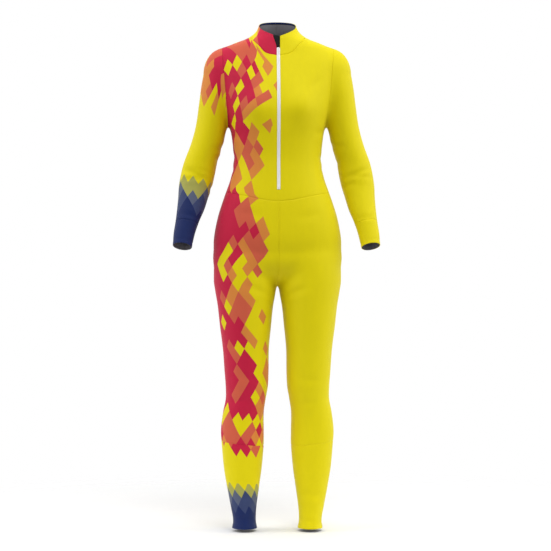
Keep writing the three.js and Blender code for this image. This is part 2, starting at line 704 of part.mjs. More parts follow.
// The soft guard that keeps the zip's end off the throat. It lies behind the collar's
// opening, with its two sides under the collar's own points.
function addGuard(collarRight, collarLeft) {
  const rows = collarRight.slice(1).map((fromRight, j) => {
    const fromLeft = collarLeft[j + 1];
    return [
      fromRight[0].clone().lerp(fromRight[1], GUARD.underRight),
      fromRight[0].clone(),
      fromLeft[0].clone(),
      fromLeft[0].clone().lerp(fromLeft[1], GUARD.underLeft),
    ];
  });
  addCloth("zip_guard", rows, "black", { thick: GUARD.thick, behind: WALL + GUARD.behind });
}

const [right, left] = SIDES.map(({ side }) => seamsOf(side));
const [collarRight, collarLeft] = SIDES.map((half) => {
  const lines = half.side === RIGHT ? right : left;
  addFront(half, lines);
  addLeg(half, lines);
  addSleeve(half, lines);
  return addCollar(half, lines);
});
addBack(right, left);
addZip();
addGuard(collarRight, collarLeft);

export default suit;
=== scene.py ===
# %% [markdown]
# A race suit in Blender
#
# This lesson dresses a imported model of a stretch race suit. The model already holds every
# piece of cloth as a plain, faceted wall. Here each piece is made again as a thin, smooth
# shell of knit with its seams, its creases, its stitching and its print.
#
# First the imported model is loaded as a fixed frame. Nothing in it is moved: each new piece
# takes the place of one of its nodes.

# %% Load the frame
from functools import partialmethod
from math import cos, radians, sin

import bmesh
import bpy
import numpy as np
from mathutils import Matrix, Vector


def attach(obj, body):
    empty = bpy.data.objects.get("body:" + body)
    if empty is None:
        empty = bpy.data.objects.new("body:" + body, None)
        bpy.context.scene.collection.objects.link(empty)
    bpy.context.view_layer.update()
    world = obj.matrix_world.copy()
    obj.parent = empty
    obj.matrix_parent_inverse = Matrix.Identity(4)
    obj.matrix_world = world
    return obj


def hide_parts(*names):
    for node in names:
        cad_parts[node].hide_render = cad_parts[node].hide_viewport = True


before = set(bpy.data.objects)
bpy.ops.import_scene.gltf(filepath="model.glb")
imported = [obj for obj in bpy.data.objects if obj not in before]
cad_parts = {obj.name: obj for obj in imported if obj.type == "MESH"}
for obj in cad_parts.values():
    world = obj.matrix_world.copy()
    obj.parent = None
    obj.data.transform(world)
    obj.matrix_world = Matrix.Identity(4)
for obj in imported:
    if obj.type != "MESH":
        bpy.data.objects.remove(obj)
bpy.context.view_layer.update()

print("nodes in the frame:", len(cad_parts))

# %% [markdown]
# The camera
#
# The suit is seen from straight in front, about two degrees from the wearer's right, and
# from far away, as product pictures are taken: a long lens keeps the ankles and the
# collar at the same scale. The camera comes first, because everything after it is judged
# through it. A lens is chosen from what it has to hold: the width of the picture at the
# suit, and the distance.

# %% Place the camera
CAMERA_DISTANCE = 5.0
CAMERA_TURN = radians(2)
CAMERA_HEIGHT = -0.621
PICTURE_MIDDLE = -0.0056
PICTURE_WIDTH = 1.532


def add_object(name, data):
    """A new object in the scene."""
    new = bpy.data.objects.new(name, data)
    bpy.context.scene.collection.objects.link(new)
    return new


camera_data = bpy.data.cameras.new("camera")
camera = add_object("camera", camera_data)
camera.location = (
    PICTURE_MIDDLE - CAMERA_DISTANCE * sin(CAMERA_TURN),
    -CAMERA_DISTANCE * cos(CAMERA_TURN),
    CAMERA_HEIGHT,
)
camera.rotation_euler = (radians(90), 0, -CAMERA_TURN)
camera_data.lens = camera_data.sensor_width * CAMERA_DISTANCE / PICTURE_WIDTH
bpy.context.scene.camera = camera
print("lens:", round(camera_data.lens, 1), "mm")

# %% [markdown]
# The body form behind the cloth
#
# A stretch suit has the shape of the figure that fills it. A pattern cutter measures that
# figure in girths and heights, so the form is held in the same way: short tables of how
# wide and how deep the trunk, a leg and an arm are at each height. The tables are in
# millimetres, as a pattern is, and MM turns them into metres when a mesh is made.
#
# The form could also be sculpted, but then no seam could be moved by changing a number.

# %% Tables of the form
MM = 0.001


def table(heads, *rows):
    """A table with named columns: heads names them, and each row gives their values."""
    return dict(zip(heads.split(), np.array(rows, float).T))


TRUNK = table(
    "z half middle front back square",
    (110, 47, 4, -46, 54, 2.0),
    (90, 49, 6, -47, 58, 2.0),
    (70, 53, 8, -49, 63, 2.0),
    (57, 60, 10, -51, 67, 2.0),
    (46, 72, 12, -53, 72, 2.0),
    (35, 91, 13, -56, 77, 2.05),
    (24, 121, 14, -58, 84, 2.1),
    (11, 148, 14, -61, 90, 2.15),
    (-10, 163, 14, -66, 97, 2.3),
    (-40, 166, 13, -76, 104, 2.4),
    (-100, 156, 11, -95, 109, 2.4),
    (-160, 143, 9, -105, 107, 2.4),
    (-207, 132, 8, -103, 102, 2.35),
    (-256, 124.5, 6, -96, 92, 2.3),
    (-302, 121.5, 5, -91, 84, 2.3),
    (-347, 128.5, 4, -92, 83, 2.3),
    (-406, 149, 3, -96, 90, 2.3),
    (-460, 166, 3, -98, 100, 2.3),
    (-520, 177, 4, -97, 110, 2.3),
    (-560, 176.5, 5, -89, 110, 2.3),
)
LEG = table(
    "z inner outer middle front back",
    (-640, 2.5, 177, 5, -86, 98),
    (-673, 6.5, 171.5, 4, -85, 91),
    (-706, 12.5, 166, 3, -82, 86),
    (-760, 18, 160, 2, -77, 79),
    (-823, 24, 152, 2, -69, 70),
    (-889, 25, 147, 2, -61, 61),
    (-930, 27, 144, 3, -57, 56),
    (-964, 33, 144, 5, -52, 58),
    (-1000, 38, 151, 9, -47, 67),
    (-1050, 38, 157, 14, -44, 76),
    (-1090, 38, 155, 16, -42, 77),
    (-1156, 43.5, 149, 17, -38, 70),
    (-1210, 51, 140, 16, -34, 60),
    (-1262, 58, 130, 14, -31, 53),
    (-1300, 60, 123.5, 12, -30, 50),
    (-1325, 56.5, 126, 12, -33, 53),
)
ARM = table(
    "z inner outer middle depth",
    (-62, 104, 206, 11, 50),
    (-100, 116, 212.5, 12, 51),
    (-150, 129, 219, 13, 49.5),
    (-207, 141, 227.5, 14, 48),
    (-256, 151.5, 241, 15, 47),
    (-306, 167.5, 260, 16, 46),
    (-339, 174, 268.5, 15, 45.5),
    (-372, 182, 274, 12, 44),
    (-406, 193, 276, 3, 42.5),
    (-439, 203.5, 279, -8, 40.5),
    (-473, 218, 283, -20, 37),
    (-506, 229, 288, -32, 33.5),
    (-550, 239, 290, -48, 30),
)
MOUNDS = (
    {"x": 64, "z": -158, "wide": 46, "high": 50, "out": 13, "facing": -1},
    {"x": 78, "z": -548, "wide": 62, "high": 66, "out": 9, "facing": 1},
)
TRUNK_FLOOR = {"z": -560, "reach": 76}
LEG_HEAD = {"z": -612, "reach": 120}
ARM_HEAD = {"z": -62, "reach": 71}
ARM_REACH = {-1: 1, 1: 0.971}
ARM_SWINGS = (208, 541)
ARMPIT_BLEND = 20
HIP_BLEND = 20
INSEAM_BLEND = 14
print("rows of measurements:", sum(len(t["z"]) for t in (TRUNK, LEG, ARM)))

# %% [markdown]
# Smooth curves through a table
#
# Between two measured heights the form has to stay smooth, because light shows every
# corner on a tight suit. Each column of a table is read through a curve that passes
# through its values and takes its slope from the rows on both sides.


# %% Read a table at any height
def smooth_curve(source, name, key="z"):
    """A smooth curve through one column of a table, read at any value of the key column."""
    order = np.argsort(source[key])
    places = source[key][order]
    values = source[name][order]
    wide_places = np.concatenate([places[:1], places, places[-1:]])
    wide_values = np.concatenate([values[:1], values, values[-1:]])
    slopes = (wide_values[2:] - wide_values[:-2]) / (wide_places[2:] - wide_places[:-2])

    def read(place):
        at = np.clip(place, places[0], places[-1])
        i = np.clip(np.searchsorted(places, at) - 1, 0, len(places) - 2)
        span = places[i + 1] - places[i]
        t = (at - places[i]) / span
        rise = values[i + 1] - values[i]
        bend = slopes[i] * span - rise
        unbend = rise - slopes[i + 1] * span
        return values[i] + t * rise + t * (1 - t) * ((1 - t) * bend + t * unbend)

    return read


def curves(source):
    """All the columns of a table as curves over the height."""
    return {name: smooth_curve(source, name) for name in source if name != "z"}


trunk = curves(TRUNK)
leg = curves(LEG)
arm = curves(ARM)
print("half a waist at -302 mm:", round(float(trunk["half"](-302)), 1), "mm")

# %% [markdown]
# The skin
#
# The whole form is one rule: how far a point lies outside the suit. Trunk, legs and arms
# are ovals at every height, and where two of them meet the smaller distance is rounded
# off, which gives the armpit and the crotch their soft hollows. Metaballs would blend in
# much the same way, but a rule in code can be asked for any point, so a seam can be drawn
# on it and a net of any fineness can be laid over it.


# %% Distance from the skin
RIGHT, LEFT = -1, 1
HANDS = {RIGHT: "right", LEFT: "left"}


def smoothstep(value, low, high):
    t = np.clip((value - low) / (high - low), 0, 1)
    return t * t * (3 - 2 * t)


def outside_oval(dx, dy, dz, half, depth, reach, square=2.0):
    """How far a point is outside an oval, measured from the oval's middle."""
    powers = sum(np.abs(part) ** square for part in (dx / half, dy / depth, dz / reach))
    ratio = powers ** (1 / square)
    return np.sqrt(dx * dx + dy * dy + dz * dz) * (1 - 1 / np.maximum(ratio, 1e-6))


def depth_at(limb, dy, z):
    """How deep a limb is at a height, ahead of its middle or behind it."""
    middle = limb["middle"](z)
    return np.where(dy < 0, middle - limb["front"](z), limb["back"](z) - middle)


def outside_trunk(x, y, z):
    dy = y - trunk["middle"](z)
    depth = depth_at(trunk, dy, z)
    below = np.minimum(z - TRUNK_FLOOR["z"], 0)
    half, square = trunk["half"](z), trunk["square"](z)
    out = outside_oval(x, dy, below, half, depth, TRUNK_FLOOR["reach"], square)
    for mound in MOUNDS:
        across = (np.abs(x) - mound["x"]) / mound["wide"]
        up = (z - mound["z"]) / mound["high"]
        facing = np.clip(mound["facing"] * dy / depth, 0, 1)
        out = out - mound["out"] * facing * np.exp(-across * across - up * up)
    return out


def outside_leg(x, y, z, side):
    inner = leg["inner"](z)
    outer = leg["outer"](z)
    dy = y - leg["middle"](z)
    above = np.maximum(z - LEG_HEAD["z"], 0)
    dx = side * x - (inner + outer) / 2
    return outside_oval(dx, dy, above, (outer - inner) / 2, depth_at(leg, dy, z), LEG_HEAD["reach"])


def arm_centre(side, z):
    swing = smoothstep(-z, *ARM_SWINGS)
    return (arm["inner"](z) + arm["outer"](z)) / 2 * (1 + (ARM_REACH[side] - 1) * swing)


def outside_arm(x, y, z, side):
    half = (arm["outer"](z) - arm["inner"](z)) / 2
    above = np.maximum(z - ARM_HEAD["z"], 0)
    dy = y - arm["middle"](z)
    dx = side * x - arm_centre(side, z)
    return outside_oval(dx, dy, above, half, arm["depth"](z), ARM_HEAD["reach"])


def blend(a, b, reach):
    """The smaller of two distances, rounded off where they are alike."""
    share = np.maximum(reach - np.abs(a - b), 0) / reach
    return np.minimum(a, b) - share * share * reach / 4


def outside(points):
    """How far points lie outside the suit's skin."""
    x, y, z = points[..., 0], points[..., 1], points[..., 2]
    legs = blend(outside_leg(x, y, z, RIGHT), outside_leg(x, y, z, LEFT), INSEAM_BLEND)
    body = blend(outside_trunk(x, y, z), legs, HIP_BLEND)
    arms = np.minimum(outside_arm(x, y, z, RIGHT), outside_arm(x, y, z, LEFT))
    return blend(body, arms, ARMPIT_BLEND)


breastbone = float(outside(np.array([0.0, -90.0, -100.0])))
print("the breastbone is", round(breastbone, 1), "mm from the skin")

# %% [markdown]
# Onto the skin
#
# Two moves put points on the skin. Settling slides a point that is already near it along
# the direction in which the distance grows, as a shrinkwrap does. Casting shoots a ray
# from inside the suit and finds where it comes out. Both work on whole arrays of points,
# so a net of thousands of them settles in a moment.


# %% Settle and cast
SLOPE_STEP = 0.25
CLOSE_ENOUGH = 0.002
LEAST_RATE = 0.3
LONGEST_STEP = 12
HALVINGS = 13


def slope_at(points):
    """The direction in which the distance grows, with the rate as its length."""
    away = np.empty_like(points)
    for axis in range(3):
        shift = np.zeros(3)
        shift[axis] = SLOPE_STEP
        away[..., axis] = (outside(points + shift) - outside(points - shift)) / (2 * SLOPE_STEP)
    return away


def normals_at(points):
    slope = slope_at(points)
    return slope / np.linalg.norm(slope, axis=-1, keepdims=True)


def settle(points, tries=8):
    """Moves points that are near the skin onto it."""
    points = points.copy()
    for _ in range(tries):
        away = outside(points)[..., None]
        if np.abs(away).max() < CLOSE_ENOUGH:
            break
        slope = slope_at(points)
        rate = np.linalg.norm(slope, axis=-1, keepdims=True)
        step = np.clip(away / np.maximum(rate, LEAST_RATE), -LONGEST_STEP, LONGEST_STEP)
        points -= step * slope / np.maximum(rate, 1e-6)
    return points


def cast(start, way, stride=4.0, longest=360.0):
    """The first point of the skin on each line that starts inside the suit."""
    start, way = np.broadcast_arrays(np.asarray(start, float), np.asarray(way, float))
    way = way / np.linalg.norm(way, axis=-1, keepdims=True)
    lengths = np.arange(stride, longest, stride)
    samples = start[..., None, :] + lengths[:, None] * way[..., None, :]
    far = lengths[np.argmax(outside(samples) >= 0, axis=-1)][..., None]
    near = far - stride
    for _ in range(HALVINGS):
        half = (near + far) / 2
        inside = outside(start + half * way)[..., None] < 0
        near = np.where(inside, half, near)
        far = np.where(inside, far, half)
    return start + near * way


navel = cast((0, 0, -330), (0, -1, 0))
print("the front at the waist is at", np.round(navel * MM, 4), "m")

# %% [markdown]
# Seam lines
#
# A maker draws the seams first, because they decide what the pieces are. Each seam is a
# curve on the skin: the neckline and the waist run round the trunk, an armhole is cut by
# an upright plane, the rise goes from the waist between the legs. Pieces that are sewn
# together share the very same points, so no gap can open between them.
#
# A longer seam gets more points. They are about 4 mm apart on the body and 6 mm on the long
# legs. The collar's top is drawn 5 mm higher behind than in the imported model,
# because a real collar's soft edge stands up there.

# %% Seam tables and point counts
NECKLINE = table(
    "turn z", (0, -16.5), (24, -9), (37, 11), (49, 26), (64, 36.5), (90, 43), (135, 47), (180, 49)
)
COLLAR_TOP = {"front": 36, "back": 91}
WAIST_SEAM = {"front": -418, "side": -391, "back": -405}
ARMHOLE_TOP = np.array([155.0, 12.0])
ARMHOLE_BOTTOM = np.array([137.5, -208.0])
ARMHOLE_Y = 11
CALF_SEAM = {"z": -1088, "rise": 12}
HEM_Z = -1323
CROTCH_Y = 4
RISE_STRAIGHT = 0.55
LEGS_PART = 10
ZIP_WIDTH = 9.5
ZIP_TOP = 6
ZIP_END = -386
SEAM_BELOW_ZIP = 5
RIDGE_DROP = 40
FIRST_RING = {"z": -222, "lean": 0.27, "forward": 0}
CUFF_SEAM = {"z": -478, "lean": 0.22, "forward": -0.33}
CUFF_END = {"z": -541, "lean": 0.15, "forward": -0.36}

ROWS = {
    "side": 45, "armhole": 48, "rise": 48, "inseam": 80, "ankle": 56,
    "head": 40, "sleeve": 64, "cuff": 18, "collar": 16,
}
COLUMNS = {"neck": 30, "shoulder": 24, "waist": 54}
FINE = 192

neckline_height = smooth_curve(NECKLINE, "z", "turn")
print("points round the waist:", 4 * COLUMNS["waist"])

# %% [markdown]
# Each kind of seam has a rule that gives its points from a turn or a share of its length.
# The waist and the neckline are rings of the trunk, an armhole is a ring in a leaning
# plane, and the calf is a ring of the leg. Plain sums on arrays do this faster than curve
# objects would, and the result can be cut and joined like a list.

# %% Points of the seams
def point(x, y, z):
    """Points from separate coordinates, any of which may be an array."""
    return np.stack(np.broadcast_arrays(x, y, z), axis=-1).astype(float)


def mix(a, b, t):
    return a + (b - a) * t


def steps(low, high, count=FINE):
    return np.linspace(low, high, count + 1)


def trunk_point(side, turn, z):
    """A point of the trunk at a height, turn degrees round from the front."""
    angle = np.radians(turn)
    return cast(point(0, trunk["middle"](z), z), point(side * np.sin(angle), -np.cos(angle), 0))


def front_point(x, z):
    return cast(point(x, trunk["middle"](z), z), (0, -1, 0))


def turn_of(p):
    return np.degrees(np.arctan2(np.abs(p[..., 0]), trunk["middle"](p[..., 2]) - p[..., 1]))


def waist_point(side, turn):
    end = np.where(turn < 90, WAIST_SEAM["front"], WAIST_SEAM["back"])
    return trunk_point(side, turn, mix(WAIST_SEAM["side"], end, np.cos(np.radians(turn)) ** 2))


def armhole_point(side, turn):
    middle = (ARMHOLE_TOP + ARMHOLE_BOTTOM) / 2
    up = ARMHOLE_TOP - ARMHOLE_BOTTOM
    up = up / np.linalg.norm(up)
    down = -np.cos(np.radians(turn))
    way = point(side * up[0] * down, -np.sin(np.radians(turn)), up[1] * down)
    return cast(point(side * middle[0], ARMHOLE_Y, middle[1]), way)


def rise_point(facing, share, top):
    """The rise seam, from the waist down to the crotch point."""
    along = np.minimum(share / RISE_STRAIGHT, 1)
    angle = np.radians(90 * np.maximum(share - RISE_STRAIGHT, 0) / (1 - RISE_STRAIGHT))
    start = point(0, CROTCH_Y, mix(top, TRUNK_FLOOR["z"], along))
    return cast(start, point(0, facing * np.cos(angle), -np.sin(angle)))


def leg_centre(side, z):
    return point(side * (leg["inner"](z) + leg["outer"](z)) / 2, leg["middle"](z), z)


def leg_point(side, turn, z, rise=0):
    """A ring round a leg: turn 0 is at the inseam, 90 in front and 180 at the side."""
    angle = np.radians(turn)
    way = point(-side * np.cos(angle), -np.sin(angle), -rise * np.cos(angle))
    return cast(leg_centre(side, z), way)


def calf_point(side, turn):
    z = CALF_SEAM["z"]
    return leg_point(side, turn, z, CALF_SEAM["rise"] / (leg["outer"](z) - leg["inner"](z)))


def sleeve_point(side, turn, ring):
    """A ring round a sleeve that leans with the arm: turn 0 is at the underarm."""
    out = -np.cos(np.radians(turn))
    ahead = np.sin(np.radians(turn))
    centre = point(side * arm_centre(side, ring["z"]), arm["middle"](ring["z"]), ring["z"])
    return cast(centre, point(side * out, -ahead, ring["lean"] * out - ring["forward"] * ahead))


print("tip of the shoulder:", np.round(armhole_point(RIGHT, 180.0), 1), "mm")

# %% [markdown]
# Points that come from turns lie close together where the skin is near and far apart where
# it is far. For sewing they have to be even, so each line is measured and shared out again
# along its length, and then settled on the skin.


# %% Share out a line
def spacing(net, axis=0):
    """The distances between neighbouring points of a line or a net."""
    return np.linalg.norm(np.diff(net, axis=axis), axis=-1)


def lengths_along(line):
    """How far each point of a line is from its start, measured along the line."""
    return np.concatenate([[0], np.cumsum(spacing(line))])


def read_along(values, lengths, places):
    """Values that are known at the points of a line, read at other places along it."""
    return np.stack([np.interp(places, lengths, column) for column in values.T], axis=1)


def evenly(line, count):
    """Shares a line of points out evenly along its length."""
    lengths = lengths_along(line)
    return read_along(line, lengths, np.linspace(0, lengths[-1], count + 1))


def seam(line, count):
    """Shares a seam line out evenly on the skin, keeping its two ends."""
    shared = settle(evenly(line, count))
    shared[0] = line[0]
    shared[-1] = line[-1]
    return shared


def join(*lines):
    """Lines that follow each other, with their common points once."""
    return np.concatenate([lines[0]] + [line[1:] for line in lines[1:]])


print("steps along a shoulder:", COLUMNS["shoulder"])

# %% [markdown]
# Now all the seams of one side are drawn in order, each from a point of an earlier one.
# Where seams meet they get the same point, so the pieces join like cut cloth at a notch.
# Left and right are drawn by the same function, since only the arm and the collar differ.


# %% Draw the seams of one side
def zip_seam(side, bottom):
    """The front edge of one front: below the zip the middle seam, then the zip's edge."""
    count = ROWS["side"] + ROWS["armhole"]
    seam_part = front_point(0, np.linspace(bottom[2], ZIP_END - 1, SEAM_BELOW_ZIP))
    seam_part[0] = bottom
    heights = np.linspace(ZIP_END, float(neckline_height(0)), count + 1 - SEAM_BELOW_ZIP)
    return np.concatenate([seam_part, front_point(side * ZIP_WIDTH / 2, heights)])


def draw_body(side, s):
    """The seams of the upper body: waist, zip, neckline, shoulder, armhole and side."""
    s["waist_front"] = seam(waist_point(side, steps(0, 90)), COLUMNS["waist"])
    s["waist_back"] = seam(waist_point(side, steps(90, 180)), COLUMNS["waist"])
    s["waist_back"][0] = s["waist_front"][-1]
    s["zip"] = zip_seam(side, s["waist_front"][0])
    throat = s["zip"][-1]
    neck_turns = steps(turn_of(throat), 90)
    neck = trunk_point(side, neck_turns, neckline_height(neck_turns))
    neck[0] = throat
    s["neck_front"] = seam(neck, COLUMNS["neck"])
    back_turns = steps(90, 180)
    s["neck_back"] = seam(trunk_point(side, back_turns, neckline_height(back_turns)), COLUMNS["neck"])
    tip = armhole_point(side, 180.0)
    ridge = mix(s["neck_front"][-1], tip, steps(0, 1)[:, None])
    ridge = cast(ridge - (0, 0, RIDGE_DROP), (0, 0, 1))
    ridge[0], ridge[-1] = s["neck_front"][-1], tip
    s["shoulder"] = seam(ridge, COLUMNS["shoulder"])
    s["armhole_front"] = seam(armhole_point(side, steps(0, 180)), ROWS["armhole"])
    s["armhole_back"] = seam(armhole_point(side, steps(0, -180)), ROWS["armhole"])
    s["armhole_front"][-1] = s["armhole_back"][-1] = tip
    armpit = s["armhole_back"][0] = s["armhole_front"][0]
    hip = s["waist_front"][-1]
    beside = cast(point(0, ARMHOLE_Y, steps(hip[2], armpit[2])), (side, 0, 0))
    beside[0], beside[-1] = hip, armpit
    s["side"] = seam(beside, ROWS["side"])


def draw_leg(side, s):
    """The seams of a leg: rise, calf, inseam and side."""
    hip = s["waist_front"][-1]
    tops = (("front", -1, s["waist_front"][0]), ("back", 1, s["waist_back"][-1]))
    for facing, way, top in tops:
        line = rise_point(way, steps(0, 1), top[2])
        line[0] = top
        s[f"rise_{facing}"] = seam(line, ROWS["rise"])
    crotch = s["rise_front"][-1]
    s["rise_back"][-1] = crotch
    s["calf_front"] = seam(calf_point(side, steps(0, 180)), COLUMNS["waist"])
    s["calf_back"] = seam(calf_point(side, steps(0, -180)), COLUMNS["waist"])
    s["calf_back"][[0, -1]] = s["calf_front"][[0, -1]]
    calf_in, calf_out = s["calf_front"][0], s["calf_front"][-1]
    inner = leg_point(side, 0.0, steps(crotch[2] - LEGS_PART, calf_in[2]))
    s["inseam"] = seam(np.concatenate([[crotch], inner[:-1], [calf_in]]), ROWS["inseam"])
    outer = cast(leg_centre(side, steps(hip[2], calf_out[2])), (side, 0, 0))
    outer[0], outer[-1] = hip, calf_out
    s["leg_side"] = seam(outer, ROWS["rise"] + ROWS["inseam"])


seams = {RIGHT: {}, LEFT: {}}
for side, drawn in seams.items():
    draw_body(side, drawn)
    draw_leg(side, drawn)
for name, line in seams[RIGHT].items():
    print(name, round(float(lengths_along(line)[-1])), "mm")

# %% [markdown]
# Nets of cloth
#
# A piece of cloth is a net of points stretched between four seam lines. The first guess
# mixes the four lines (a Coons patch), settles it on the skin, and then lets the net
# relax: every point moves to the middle of its neighbours and settles again, as a stretch
# knit evens itself out. Tubes such as sleeves need no patch: each ring slides along the
# skin into the next.


# %% Stretch nets between seams
RELAX_ROUNDS = 10
RELAX_PASSES = 12
FIRST_TRIES = 24
RING_TRIES = 16
FOREARM_BENDS = (0.3, 0.8)


def stretch(bottom, top, left, right):
    """A net between four seams. Bottom and top run left to right, left and right upwards."""
    u = np.linspace(0, 1, len(bottom))[None, :, None]
    v = np.linspace(0, 1, len(left))[:, None, None]
    between = mix(bottom[None], top[None], v) + mix(left[:, None], right[:, None], u)
    corners = mix(mix(bottom[0], bottom[-1], u), mix(top[0], top[-1], u), v)
    net = settle(between - corners, FIRST_TRIES)
    net[0], net[-1], net[:, 0], net[:, -1] = bottom, top, left, right
    for _ in range(RELAX_ROUNDS):
        for _ in range(RELAX_PASSES):
            around = net[2:, 1:-1] + net[:-2, 1:-1] + net[1:-1, 2:] + net[1:-1, :-2]
            net[1:-1, 1:-1] = around / 4
        net[1:-1, 1:-1] = settle(net[1:-1, 1:-1])
    return net


def slide(ring_from, ring_to, count):
    """Rings from one closed line to another."""
    net = mix(ring_from[None], ring_to[None], np.linspace(0, 1, count + 1)[:, None, None])
    net[1:-1] = settle(net[1:-1], RING_TRIES)
    return net


print("a net relaxes", RELAX_ROUNDS * RELAX_PASSES, "times")

# %% [markdown]
# Which four seams bound which piece is all that differs between the panels. The sleeves and
# the lower legs are tubes: a sleeve begins at the armhole, turns into a leaning ring below
# the shoulder, and from there follows the arm to the end of the cuff.


# %% Nets of the pieces
def front_net(s):
    top = join(s["neck_front"], s["shoulder"])
    return stretch(s["waist_front"], top, s["zip"], join(s["side"], s["armhole_front"]))


def back_net(right, left):
    bottom = join(right["waist_back"], left["waist_back"][::-1])
    neck = join(right["neck_back"], left["neck_back"][::-1])
    top = join(right["shoulder"][::-1], neck, left["shoulder"])
    sides = [join(s["side"], s["armhole_back"]) for s in (right, left)]
    return stretch(bottom, top, *sides)


def leg_net(s, facing):
    waist = s["waist_front"] if facing == "front" else s["waist_back"][::-1]
    inside = join(s[f"rise_{facing}"], s["inseam"])
    return stretch(waist, s[f"calf_{facing}"], inside, s["leg_side"])


def ankle_net(side, s):
    calf = join(s["calf_front"], s["calf_back"][::-1])[:-1]
    middle = leg_centre(side, CALF_SEAM["z"])
    turns = np.degrees(np.arctan2(middle[1] - calf[:, 1], side * (middle[0] - calf[:, 0])))
    return slide(calf, leg_point(side, turns, HEM_Z), ROWS["ankle"])


def rings_between(side, turns, start, end, count):
    """Rings round a sleeve from one leaning ring to another."""
    rings = []
    for t in np.linspace(0, 1, count + 1):
        ring = {name: mix(start[name], end[name], t) for name in ("z", "lean")}
        ring["forward"] = mix(start["forward"], end["forward"], smoothstep(t, *FOREARM_BENDS))
        rings.append(sleeve_point(side, turns, ring))
    return np.array(rings)


def sleeve_nets(side, s):
    armhole = join(s["armhole_front"], s["armhole_back"][::-1])[:-1]
    turns = np.arange(len(armhole)) * 360 / len(armhole)
    head = slide(armhole, sleeve_point(side, turns, FIRST_RING), ROWS["head"])
    below = rings_between(side, turns, FIRST_RING, CUFF_SEAM, ROWS["sleeve"])
    cuff = rings_between(side, turns, CUFF_SEAM, CUFF_END, ROWS["cuff"])
    return join(head, below), cuff


nets = {"back": back_net(seams[RIGHT], seams[LEFT])}
for side, hand in HANDS.items():
    nets[f"front_{hand}"] = front_net(seams[side])
    nets[f"leg_front_{hand}"] = leg_net(seams[side], "front")
    nets[f"leg_back_{hand}"] = leg_net(seams[side], "back")
    nets[f"ankle_{hand}"] = ankle_net(side, seams[side])
    nets[f"sleeve_{hand}"], nets[f"cuff_{hand}"] = sleeve_nets(side, seams[side])
print("points in the nets:", sum(net.shape[0] * net.shape[1] for net in nets.values()))

# %% [markdown]
# The collar
#
# The collar stands up from the neckline in two halves. Its top is nearly level behind and
# at the sides, and drops to the throat. At the front the two halves follow the zip and then
# part, the wearer's right one in a wide curve, so that the soft guard behind shows between
# them. Each half is a net between four lines, as the body's pieces are.

# %% Collar and guard nets
COLLAR_OPENING = {RIGHT: 15.5, LEFT: 5.2, "from": 2, "to": 50}
GUARD_BEHIND = 2.0
GUARD_UNDER = {RIGHT: 1.75, LEFT: 1.0}
GUARD_COLUMNS = 16


def collar_net(side, s):
    base = join(s["neck_front"], s["neck_back"])
    lip = front_point(side * COLLAR_OPENING[side], COLLAR_TOP["front"])
    turns = steps(turn_of(lip), 180)
    top_z = mix(COLLAR_TOP["front"], COLLAR_TOP["back"], np.sin(np.radians(turns / 2)))
    top = seam(trunk_point(side, turns, top_z), len(base) - 1)
    heights = steps(base[0][2], top[0][2])
    away = smoothstep(heights, COLLAR_OPENING["from"], COLLAR_OPENING["to"])
    edge = front_point(side * mix(ZIP_WIDTH / 2, abs(top[0][0]), away / away[-1]), heights)
    edge[0], edge[-1] = base[0], top[0]
    nape = settle(mix(base[-1], top[-1], steps(0, 1)[:, None]))
    return stretch(base, top, seam(edge, ROWS["collar"]), seam(nape, ROWS["collar"]))


def guard_net(right, left):
    """The guard spans the opening, and reaches a few points under each half."""
    rows = []
    for r, l in list(zip(right, left))[ROWS["collar"] // 3:]:
        under_right = mix(r[0], r[3], GUARD_UNDER[RIGHT] / 3)
        under_left = mix(l[0], l[3], GUARD_UNDER[LEFT] / 3)
        rows.append(evenly(np.array([under_right, r[0], l[0], under_left]), GUARD_COLUMNS))
    return settle(np.array(rows))


nets["collar_right"] = collar_net(RIGHT, seams[RIGHT])
nets["collar_left"] = collar_net(LEFT, seams[LEFT])
nets["zip_guard"] = guard_net(nets["collar_right"], nets["collar_left"])
rim = nets["collar_right"][-1]
print("collar top from", np.round(rim[0] * MM, 3), "to", np.round(rim[-1] * MM, 3))
